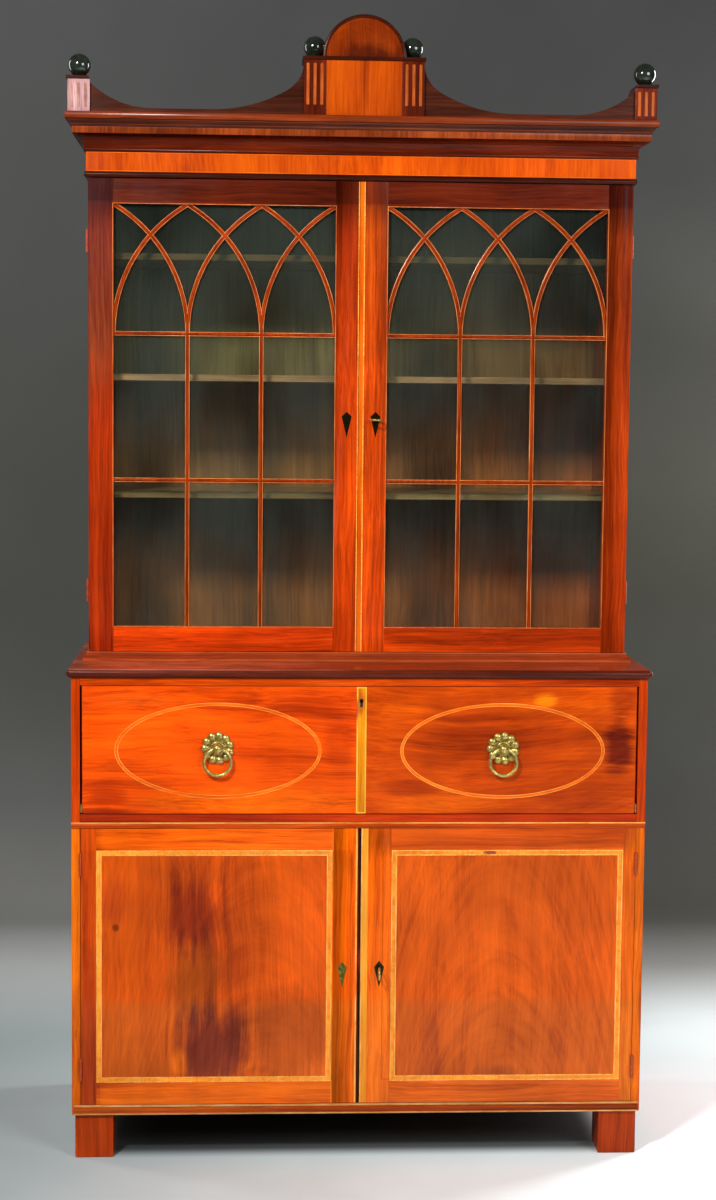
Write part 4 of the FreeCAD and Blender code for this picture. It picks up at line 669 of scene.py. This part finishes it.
def rosette(name, x, stands_for=(), z=0.873, petals=11):
    """One cast flower, shaped from one petal that is copied round the middle."""
    bpy.ops.mesh.primitive_cylinder_add(vertices=48, radius=0.029, depth=0.0035, location=(x, -0.24455, z),
                                        rotation=facing_front)
    made = [bpy.context.object]
    bpy.ops.mesh.primitive_uv_sphere_add(segments=24, ring_count=16, radius=1,
                                         location=(x, -0.2448, z + 0.0257))
    petal, petal_foot = bpy.context.object, z + 0.022
    petal.scale = (0.0088, 0.0064, 0.0094)
    set_down()
    shape()
    choose(lambda at: at.z < petal_foot)
    bpy.ops.transform.resize(value=(0.88, 0.9, 1.2), center_override=(x, -0.244, petal_foot))
    shaped()
    bpy.ops.mesh.primitive_cone_add(vertices=10, radius1=0.0012, radius2=0.0007, depth=0.013,
                                    location=(x, -0.2492, z + 0.0175))
    rib = bpy.context.object
    set_down()
    made += [petal, rib]
    for index in range(1, petals):
        for source in (petal, rib):
            pick(source)
            bpy.ops.object.duplicate()
            shape()
            bpy.ops.transform.rotate(value=math.tau * index / petals, orient_axis="Y",
                                     center_override=(x, 0, z))
            shaped()
            made.append(bpy.context.object)
    bpy.ops.mesh.primitive_torus_add(major_radius=0.0128, minor_radius=0.002, major_segments=40,
                                     minor_segments=10, location=(x, -0.249, z), rotation=facing_front)
    made.append(bpy.context.object)
    bpy.ops.mesh.primitive_cylinder_add(vertices=32, radius=0.0115, depth=0.007, location=(x, -0.2477, z),
                                        rotation=facing_front)
    made.append(bpy.context.object)
    bpy.ops.mesh.primitive_cylinder_add(vertices=32, radius=0.0058, depth=0.04, location=(x, ring_axis, z),
                                        rotation=(0, math.radians(90), 0))
    hole = bpy.context.object
    bpy.ops.mesh.primitive_uv_sphere_add(segments=40, ring_count=24, radius=0.0108, location=(x, -0.2566, z))
    modify("BOOLEAN", object=hole, solver="EXACT")
    made.append(bpy.context.object)
    bpy.data.objects.remove(hole)
    pick(*made)
    bpy.ops.object.join()
    shape()
    bpy.ops.transform.rotate(value=math.radians(-7), orient_axis="Y", center_override=(x, 0, z))
    shaped()
    settle(name, "fall", (old_brass,), smooth=60, stands_for=stands_for)


rosette("left_rosette", -pull_x, stands_for=("pull_rosettes",))
rosette("right_rosette", pull_x)
for side, x in (("left", -pull_x), ("right", pull_x)):
    bpy.ops.mesh.primitive_torus_add(major_radius=0.028, minor_radius=0.0036, major_segments=72,
                                     minor_segments=16, location=(x, ring_axis, 0.845), rotation=facing_front)
    settle(f"{side}_ring", f"{side}_ring", (old_brass,), smooth=60,
           stands_for=(f"pull_ring_{side}",))

# The ledge and the moulding that the upper case stands in. The ledge is the lower case's top, with a rounded
# edge on three sides, and the moulding is planed to a quarter round over a fillet and glued round the case.

# The ledge is painted darker on its rounded front edge than on its top, as shade, with a painted highlight
# line along the top of that edge on its left half.
ledge_polish_light_and_shade = polished_wood(
    "ledge_polish_light_and_shade", [(0.18, 0.018, 0.004), (0.32, 0.036, 0.008), (0.46, 0.056, 0.012)], along="x", shift=8.8,
    stains_and_painted_light=((-0.36, 1.0366, 0.36, 0.0016, (2.6, 5.0, 9.0), 1.0),),
    heights=((1.019, (0.3, 0.4, 0.7)), (1.0368, (0.36, 0.45, 0.8)), (1.0379, (0.8, 0.8, 0.9))))
wear(ledge_polish_light_and_shade, "dark_mahogany", "ledge_top", radius=0)
# The foot moulding carries two painted highlight lines, one near its foot and one along its top edge.
foot_moulding_polish_and_highlights = polished_wood(
    "foot_moulding_polish_and_highlights", [(0.2, 0.023, 0.005), (0.33, 0.042, 0.009), (0.46, 0.066, 0.014)], along="x",
    shift=8.1, heights=((1.038, (0.9, 0.9, 1)), (1.0405, (1.4, 1.9, 2)), (1.0425, (1.4, 1.9, 2)),
                        (1.0445, (0.9, 0.9, 1)), (1.0555, (0.9, 0.9, 1)), (1.057, (1.7, 2.6, 3))))
wear(foot_moulding_polish_and_highlights, "dark_mahogany", "upper_foot_moulding", radius=0)

# The upper case. Its sides run from the ledge to the cornice. The frames of its doors are mahogany like those
# below, painted darker towards the top, as shade where the cornice keeps the light off, and bluer there, as a
# painted sheen.

upper_side_polish = polished_wood(
    "upper_side_polish", [(0.16, 0.016, 0.004), (0.3, 0.034, 0.008), (0.46, 0.056, 0.012)], shift=14.4)
wear(upper_side_polish, "mahogany", "upper_side_left", "upper_side_right")

# The left frame is painted with a sheen on its outer stile and with shade towards its top.
upper_left_polish_shade_and_sheen = polished_wood(
    "upper_left_frame_polish", [(0.27, 0.021, 0.0012), (0.567, 0.042, 0.0018), (0.891, 0.079, 0.0024)],
    rails=(-0.521, -0.055), shift=37.0, figure=0.2, stains_and_painted_light=((-0.56, 1.84, 0.06, 0.28, (1.0, 2.2, 4.0), 1.0),),
    heights=((1.11, (1.17, 1.08, 1)), (1.12, (1.15, 1.1, 1)), (1.45, (1.1, 1.1, 1.2)),
             (1.7, (0.78, 0.75, 1.4)), (1.94, (0.56, 0.52, 1.8)), (2.002, (0.26, 0.3, 1.4)),
             (2.004, (0.16, 0.22, 1.2)), (2.05, (0.15, 0.2, 1.2))),
    widths=((-0.577, (0.5, 0.48, 1.2)), (-0.523, (0.52, 0.48, 1)), (-0.52, (1, 1, 1)), (-0.056, (1, 1, 1)),
            (-0.053, (0.94, 1.04, 1))))
# The right frame is painted with a highlight line down its outer edge and with shade towards its top.
upper_right_polish_shade_and_highlight = polished_wood(
    "upper_right_frame_polish", [(0.26, 0.021, 0.0015), (0.546, 0.046, 0.002), (0.858, 0.086, 0.003)],
    rails=(0.055, 0.521), shift=41.0, figure=0.2, stains_and_painted_light=((0.5768, 1.3, 0.0014, 0.34, (2.4, 18.0, 120.0),
                                                           0.8),),
    heights=((1.11, (1.03, 0.95, 1)), (1.12, (1.0, 0.9, 1)), (1.7, (0.85, 0.9, 1.5)),
             (1.94, (0.72, 0.9, 2.0)), (2.002, (0.32, 0.4, 1.5)), (2.004, (0.21, 0.25, 1.5)),
             (2.05, (0.19, 0.23, 1.5))),
    widths=((0.05, (1.36, 1.5, 1)), (0.056, (1, 1, 1)), (0.52, (1, 1, 1)),
            (0.523, (0.72, 0.78, 1)), (0.577, (0.76, 0.85, 1.5))))
wear(upper_left_polish_shade_and_sheen, "mahogany", "upper_left_door_frame")
wear(upper_right_polish_shade_and_highlight, "mahogany", "upper_right_door_frame")

# The glazing bars and the glass of the upper doors. The bars are mahogany beads between two light fillets,
# mitred into three upright lights, with their tops steamed and bent into crossing pointed arches.

bar_polish = polished_wood(
    "bar_polish", [(0.16, 0.014, 0.002), (0.34, 0.034, 0.003), (0.5, 0.06, 0.005)], across=120, run=6,
    shift=2.9)
bar_fillet = polished_wood(
    "bar_fillet", [(0.36, 0.085, 0.018), (0.6, 0.16, 0.042), (0.8, 0.26, 0.08)], across=200, run=20,
    shift=3.9)
bar_profile = [(-0.0045, -0.0985, 1), (-0.0031, -0.099, 0), (-0.0024, -0.0978, 0), (-0.0014, -0.1008, 0),
               (0.0, -0.1018, 0), (0.0014, -0.1008, 0), (0.0024, -0.0978, 0), (0.0031, -0.099, 1),
               (0.0045, -0.0985, 1)]
bar_finishes, bar_back, glazed_face = (bar_polish, bar_fillet), -0.0918, -0.1048
thin_line = ((0.0013, 0),)
foot, spring, pitch = 1.11, 1.73, 0.15533  # where the bars and the arches start, and a light's width
reach, sweep = 0.31067, 60.3  # each arch is part of a circle: its radius, and how far round it goes
for side, opening in (("left", -0.521), ("right", 0.055)):
    bars = []
    for column in (1, 2):
        at = (opening + pitch * column, 0, foot)
        bars.append(strip_along(bar_profile, bar_back, "z", at, spring - foot, bar_finishes))
    for level in (1.4225, spring):
        bars.append(strip_along(bar_profile, bar_back, "x", (opening - 0.002, 0, level), 0.47, bar_finishes))
    for column, lean in ((0, 1), (1, 1), (2, 1), (1, -1), (2, -1), (3, -1)):
        at_x = opening + pitch * column
        section_face(bar_profile, bar_back, "z", (at_x, 0, spring), bar_finishes)
        bpy.ops.mesh.spin(steps=24, angle=math.radians(-sweep) * lean,
                          center=(at_x + reach * lean, 0, spring), axis=(0, 1, 0))
        close_up()
        bars.append(bpy.context.object)
    pick(*bars)
    bpy.ops.object.join()
    settle(f"upper_{side}_bars", f"upper_{side}_door", smooth=30,
           stands_for=(f"upper_{side}_tracery",))
    let_in(f"upper_{side}_opening_line", f"upper_{side}_door",
           (opening - 0.0012, opening + 0.4672), (1.1108, 2.0002), (bar_fillet,), thin_line,
           face=glazed_face, thick=0.004)

old_glass, tree, shader = new_finish("old_glass")
tree.nodes.remove(shader)
clear = step(tree, "BsdfTransparent", {"Color": (0.8, 0.88, 0.82, 1)}).outputs["BSDF"]
shade = step(tree, "BsdfTransparent", {"Color": (0.86, 0.92, 0.87, 1)}).outputs["BSDF"]
gloss = step(tree, "BsdfGlossy", {"Color": (0.9, 1.0, 0.93, 1), "Roughness": 0.05})
bloom = step(tree, "BsdfDiffuse", {"Color": (0.52, 0.62, 0.54, 1)}).outputs["BSDF"]
film = grain(tree, spot(tree), (5, 5, 3), 4.0)
cloudy = step(tree, "MixShader", {0: spread_range(tree, film, 0.3, 0.7, 0.004, 0.022), 1: clear, 2: bloom})
facing = step(tree, "Fresnel", {"IOR": 1.25}).outputs["Fac"]
shown = step(tree, "MixShader", {0: facing, 1: cloudy.outputs[0], 2: gloss.outputs["BSDF"]})
lit = step(tree, "LightPath").outputs["Is Shadow Ray"]
pane = step(tree, "MixShader", {0: lit, 1: shown.outputs[0], 2: shade})
tree.links.new(pane.outputs[0], tree.nodes["Material Output"].inputs["Surface"])
for side in ("left", "right"):
    frame["nodes"][f"upper_{side}_glass"].data.materials[0] = old_glass

# The edges where the upper doors meet, and their escutcheons. The right stile carries a band that covers the
# gap, with a light line beside it, the left one a light line, and dark kites are let in at the lock's height.

edge_wood = polished_wood(
    "edge_wood", [(0.62, 0.08, 0.002), (0.8, 0.125, 0.004), (0.95, 0.18, 0.008)], across=120, run=6,
    shift=2.2)
upper_doors_high = (1.0595, 2.0505)
for name, side, wide, finish in (("line", "left", (-0.0072, -0.0052), oval_line),
                                 ("line", "right", (0.0044, 0.0068), oval_line),
                                 ("band", "right", (-0.0041, 0.0044), edge_wood)):
    let_in(f"upper_{side}_edge_{name}", f"upper_{side}_door", wide, upper_doors_high, (finish,),
           fill=0, face=glazed_face)
for side, x in (("left", -0.029), ("right", 0.032)):
    kite(f"upper_{side}_escutcheon", f"upper_{side}_door", x, 1.57, 1.56, 1.515, 0.0105, glazed_face,
         dark_brass)

# The head of the upper case: the dark bead over the doors, the frieze with its light lines, and the cornice.
# The cornice is built up of a bead, a cove, a cross-banded strip and a crown, mitred at the front corners.

head_polish = polished_wood(
    "head_polish", [(0.022, 0.003, 0.0008), (0.043, 0.006, 0.0016), (0.078, 0.012, 0.0028)], along="x",
    shift=12.6)
wear(head_polish, "dark_mahogany", "head_bead", radius=0)
frieze_wood = polished_wood(
    "frieze_wood", [(0.432, 0.035, 0.0012), (0.64, 0.064, 0.0016), (0.784, 0.101, 0.0024)], across=70, run=4,
    shift=15.0, blotch=0.15, widths=((-0.577, (0.81, 0.96, 1)), (-0.05, (0.85, 1, 1)),
                                     (0.1, (1.05, 1.25, 1))))
wear(frieze_wood, "satinwood", "frieze", radius=0.0008)
frieze_line = polished_wood(
    "frieze_line", [(0.6, 0.085, 0.004), (0.76, 0.125, 0.007), (0.88, 0.175, 0.015)], along="x", across=200,
    run=20, shift=15.5)
frieze_face = -0.1068
let_in("frieze_lines", "cabinet", (-0.5762, 0.5762), (2.0649, 2.1041), (frieze_line,), thin_line,
       face=frieze_face)

cove_polish = polished_wood(
    "cove_polish", [(0.04, 0.004, 0.0006), (0.088, 0.008, 0.0012), (0.16, 0.017, 0.0024)], along="x",
    shift=18.0)
crown_polish = polished_wood(
    "crown_polish", [(0.12, 0.016, 0.0035), (0.21, 0.031, 0.006), (0.31, 0.052, 0.01)], along="x", shift=19.0)
ogee_polish = polished_wood(
    "ogee_polish", [(0.03, 0.006, 0.003), (0.06, 0.012, 0.006), (0.11, 0.024, 0.011)], along="x", shift=19.6,
    heights=((2.1568, (1, 1, 1)), (2.1578, (3.5, 3.0, 1.2)), (2.1588, (1, 1, 1)),
             (2.1655, (1, 1, 1)), (2.1668, (3.0, 2.5, 1.2)), (2.168, (1, 1, 1))))
band_wood = polished_wood(
    "band_wood", [(0.13, 0.017, 0.003), (0.23, 0.036, 0.006), (0.36, 0.066, 0.012)], across=110, run=8,
    shift=20.0, blotch=0.4)


def wrap_moulding(name, half, front, rear, profile, finishes, stands_for):
    """A moulding mitred round the front and both ends. profile = (height, how far proud, finish), ..."""
    bpy.ops.mesh.primitive_plane_add(size=2)
    piece = bpy.context.object
    base, proud, _ = profile[0]
    piece.scale = (half + proud, (rear - front + proud) / 2, 1)
    piece.location = (0, (rear + front - proud) / 2, base)
    set_down()
    for finish in finishes:
        piece.data.materials.append(finish)
    shape()
    bpy.ops.mesh.select_mode(type="FACE")
    for (low, was, _), (high, now, _) in zip(profile, profile[1:]):
        bpy.ops.mesh.extrude_region_move(TRANSFORM_OT_translate={"value": (0, 0, high - low)})
        ratio = ((half + now) / (half + was), (rear - front + now) / (rear - front + was), 1)
        bpy.ops.transform.resize(value=ratio, center_override=(0, rear, 0))
    bpy.ops.mesh.select_all(action="SELECT")
    bpy.ops.mesh.normals_make_consistent(inside=False)
    shaped()
    for face in piece.data.polygons:
        for (low, _, number), (high, _, _) in zip(profile, profile[1:]):
            if low < face.center.z <= high:
                face.material_index = number
    modify("BEVEL", width=0.001, segments=2, limit_method="ANGLE", angle_limit=math.radians(70))
    settle(name, "cabinet", smooth=40, stands_for=stands_for)


cornice_profile = [(2.105, 0.003, 0), (2.1062, 0.0048, 0), (2.1085, 0.0056, 0), (2.1108, 0.0048, 0),
                   (2.112, 0.003, 0)]
cove_foot, cove_proud, cove_rise, cove_reach = 2.1125, 0.0035, 0.0265, 0.0225
for turn in range(0, 91, 10):
    swing = math.radians(turn)
    cornice_profile.append((cove_foot + cove_rise * math.sin(swing),
                            cove_proud + cove_reach * (1 - math.cos(swing)), 0))
cornice_profile += [(2.14, 0.027, 1), (2.1532, 0.027, 2), (2.154, 0.0285, 2), (2.1566, 0.029, 2),
                    (2.1585, 0.03, 2), (2.161, 0.0318, 2), (2.164, 0.0345, 2), (2.1668, 0.036, 2),
                    (2.168, 0.04, 3), (2.169, 0.041, 3), (2.1806, 0.041, 3), (2.182, 0.04, 3)]
wrap_moulding("cornice_moulding", 0.577, frieze_face, 0.2772, cornice_profile,
              (cove_polish, band_wood, ogee_polish, crown_polish), ("cornice",))

# The pediment. Four plinths carry caps and black turned balls, and two curved boards on each side sweep up to
# the middle, where a tablet stands under a half-round lunette with a dark bead round it.

# The left outer plinth carries a painted glare, white and blue.
plinth_polish_and_glare = polished_wood(
    "plinth_polish_and_glare", [(0.048, 0.005, 0.001), (0.095, 0.01, 0.002), (0.17, 0.02, 0.004)], across=140, run=5,
    shift=22.0, stains_and_painted_light=((-0.589, 2.215, 0.036, 0.064, (5.8, 30.0, 150.0), 0.85),))
wear(plinth_polish_and_glare, "mahogany", "plinths")
wear(head_polish, "dark_mahogany", "pediment_caps", radius=0.001)
sweep_polish = polished_wood(
    "sweep_polish", [(0.025, 0.005, 0.0016), (0.05, 0.01, 0.004), (0.092, 0.02, 0.008)], along="x",
    shift=24.0)
wear(sweep_polish, "mahogany", "sweep_boards", radius=0.001)
tablet_wood = polished_wood(
    "tablet_wood", [(0.283, 0.031, 0.001), (0.43, 0.055, 0.0015), (0.552, 0.084, 0.0025)], across=60, run=3,
    shift=26.0, stains_and_painted_light=((0.0, 2.24, 0.0015, 0.2, (0.5, 0.4, 1), 0.8),))
wear(tablet_wood, "satinwood", "tablet", radius=0.001)
lunette_wood = polished_wood(
    "lunette_wood", [(0.112, 0.01, 0.0006), (0.212, 0.023, 0.0009), (0.35, 0.045, 0.0015)], across=50, run=3,
    shift=27.0, arch=(0.0, 6.0, 0.35, 20.0), stains_and_painted_light=((0.0, 2.3, 0.07, 0.03, (0.35, 0.3, 1), 0.8),))
wear(lunette_wood, "satinwood", "lunette", radius=0)

bead_section = [(-0.0035, -0.1425, 0), (-0.0028, -0.144, 0), (-0.0012, -0.145, 0), (0.0012, -0.145, 0),
                (0.0028, -0.144, 0), (0.0035, -0.1425, 0)]
lunette_radius, lunette_foot = 0.0828, 2.302
section_face(bead_section, -0.13, "z", (-lunette_radius, 0, lunette_foot), (head_polish,))
bpy.ops.mesh.spin(steps=48, angle=math.radians(-180), center=(0, 0, lunette_foot), axis=(0, 1, 0))
close_up()
settle("lunette_bead", "cabinet")

# The flutes of the left outer plinth carry the same painted glare.
flute_light_and_glare = polished_wood(
    "flute_light_and_glare", [(0.27, 0.045, 0.007), (0.44, 0.085, 0.014), (0.6, 0.135, 0.025)], across=200, run=20,
    shift=28.0, stains_and_painted_light=((-0.589, 2.215, 0.05, 0.09, (1.0, 2.6, 12.0), 1.0),))
low_plinth, high_plinth, flute_radius = (2.19, 2.24), (2.203, 2.288), 0.003
plinths = ((-0.589, low_plinth), (-0.1025, high_plinth), (0.1025, high_plinth), (0.589, low_plinth))
for number, (middle, (low, high)) in enumerate(plinths, 1):
    flutes = []
    for offset in (-0.0144, 0.0, 0.0144):
        bpy.ops.mesh.primitive_circle_add(vertices=24, radius=flute_radius, fill_type="NGON",
                                          rotation=facing_front,
                                          location=(middle + offset, -0.144, high - flute_radius))
        set_down()
        shape()
        choose(lambda at: at.z < high - flute_radius + 0.0001)
        bpy.ops.transform.resize(value=(1, 1, 0), center_override=(0, 0, low))
        shaped()
        modify("SOLIDIFY", thickness=0.0006, offset=-1)
        flutes.append(bpy.context.object)
    pick(*flutes)
    bpy.ops.object.join()
    settle(f"plinth_flutes_{number}", "cabinet", (flute_light_and_glare,), smooth=20)

black_gloss = flecked("black_gloss", 60, 4.0, [(0.3, (0.006, 0.008, 0.005)), (0.7, (0.02, 0.026, 0.017))],
                      {"Roughness": (0.08, 0.16), "Coat Weight": 0.6, "Coat Roughness": 0.04})
wear(black_gloss, "ebonised", "ball_finials", radius=0)

# The studio: a pale floor that curves up into a grey backdrop, a small and a large lamp in front, two narrow
# ones at the sides that draw the edges, and one behind, whose light the backdrop lets through. The camera
# stands at a standing eye's height.

floor_middle, backdrop_tall = -3.0, 5
bpy.ops.mesh.primitive_plane_add(size=2, location=(0, floor_middle, 0))
floor = bpy.context.object
floor.name = "studio_floor"
floor.scale = (9, 4.4, 1)
set_down()
shape()
bpy.ops.mesh.select_mode(type="EDGE")
bpy.ops.mesh.select_all(action="DESELECT")
mesh = bmesh.from_edit_mesh(floor.data)
for edge in mesh.edges:
    if all(corner.co.y > floor_middle for corner in edge.verts):
        edge.select_set(True)
bmesh.update_edit_mesh(floor.data)
bpy.ops.mesh.extrude_region_move(TRANSFORM_OT_translate={"value": (0, 0, backdrop_tall)})
shaped()
modify("BEVEL", width=0.8, segments=16, limit_method="ANGLE")
smooth_under(60)
studio, tree, shader = new_finish("studio_paper")
# The paper's colour is painted with the studio's light: white on the floor and darker up the backdrop, darker
# to the left and lighter to the right, with a painted pool of light high on the right.
place = spot(tree)
at_x, at_y, at_z = step(tree, "SeparateXYZ", {"Vector": place}).outputs
height = sums(tree, "DIVIDE", at_z, 3.0)
rise = ramp(tree, height,
            [(0.0, (1.0, 1.0, 1.0)), (0.02, (0.72, 0.72, 0.71)), (0.06, (0.2, 0.2, 0.19)),
             (0.16, (0.125, 0.125, 0.12)), (0.35, (0.082, 0.084, 0.074)), (0.9, (0.092, 0.092, 0.092))])
at_left = ramp(tree, height, [(0.0, (0.265, 0.305, 0.308)), (0.03, (0.6, 0.62, 0.62)),
                              (0.08, (0.85, 0.85, 0.85)), (0.4, (0.8, 0.8, 0.8))])
at_right = ramp(tree, height, [(0.0, (0.88, 0.96, 0.97)), (0.03, (0.42, 0.42, 0.41)),
                               (0.07, (0.32, 0.31, 0.28)), (0.2, (0.55, 0.55, 0.53)),
                               (0.46, (0.95, 0.92, 0.84)), (0.75, (0.48, 0.48, 0.48))])
sideways = blend(tree, spread_range(tree, at_x, -1.2, 1.1), at_left, at_right)
rise = blend(tree, 1.0, rise, sideways, "MULTIPLY")
# Under the case the floor is painted dark, a painted shadow.
past_side = spread_range(tree, sums(tree, "ABSOLUTE", at_x), 0.5, 0.6)
off = sums(tree, "ABSOLUTE", sums(tree, "SUBTRACT", at_y, 0.02))
clear = sums(tree, "MAXIMUM", past_side, spread_range(tree, off, 0.2, 0.27))
mottle_and_painted_shadow = spread_range(tree, grain(tree, place, (2, 2, 2), 3.0), 0.3, 0.7, 1.175, 1.3)
mottle_and_painted_shadow = sums(tree, "MULTIPLY", mottle_and_painted_shadow, sums(tree, "ADD", sums(tree, "MULTIPLY", clear, 0.9), 0.1))
tree.links.new(times(tree, rise, mottle_and_painted_shadow), shader.inputs["Base Color"])
shader.inputs["Roughness"].default_value = 0.9
shader.inputs["Specular IOR Level"].default_value = 0.1
behind = step(tree, "NewGeometry").outputs["Backfacing"]
unseen = step(tree, "BsdfTransparent").outputs["BSDF"]
seen = step(tree, "MixShader", {0: behind, 1: shader.outputs["BSDF"], 2: unseen})
tree.links.new(seen.outputs[0], tree.nodes["Material Output"].inputs["Surface"])
floor.data.materials.append(studio)

for name, place, aim, size, power in (
        ("key_lamp", (-1.5, -2.9, 3.2), (0, -0.2, 0.9), (0.5, 0.5), 128),
        ("fill_lamp", (2.2, -3.4, 2.6), (0, -0.2, 0.8), (1.6, 1.6), 72),
        ("right_edge_lamp", (2.2, 0.9, 1.7), (0.4, 0.0, 1.2), (0.5, 2.6), 50),
        ("left_edge_lamp", (-2.4, 0.7, 2.2), (-0.4, 0.0, 1.4), (0.4, 2.0), 16),
        ("back_lamp", (0.5, 5.0, 3.4), (0, 0.2, 1.2), (2.5, 2.5), 170)):
    lamp = bpy.data.lights.new(name, "AREA")
    lamp.shape, lamp.size, lamp.size_y, lamp.energy = "RECTANGLE", size[0], size[1], power
    holder = bpy.data.objects.new(name, lamp)
    bpy.context.scene.collection.objects.link(holder)
    holder.location = place
    holder.rotation_euler = (Vector(aim) - Vector(place)).to_track_quat("-Z", "Y").to_euler()

world = bpy.data.worlds.new("studio_air")
bpy.context.scene.world = world
world.use_nodes = True
world.node_tree.nodes["Background"].inputs["Color"].default_value = (0.3, 0.31, 0.31, 1)
world.node_tree.nodes["Background"].inputs["Strength"].default_value = 0.22

lens = bpy.data.cameras.new("camera")
camera = bpy.data.objects.new("camera", lens)
bpy.context.scene.collection.objects.link(camera)
lens.lens, lens.sensor_width, lens.sensor_fit = 64.812, 36, "AUTO"
camera.location = (-0.239, -4.6882, 1.5833)
pan, tilt, roll = -2.966, 5.144, 0.5295
turn = (Matrix.Rotation(math.radians(pan), 4, "Z") @ Matrix.Rotation(math.radians(90 - tilt), 4, "X")
        @ Matrix.Rotation(math.radians(roll), 4, "Z"))
camera.rotation_euler = turn.to_euler()
bpy.context.scene.camera = camera
bpy.context.scene.view_settings.view_transform = "Standard"
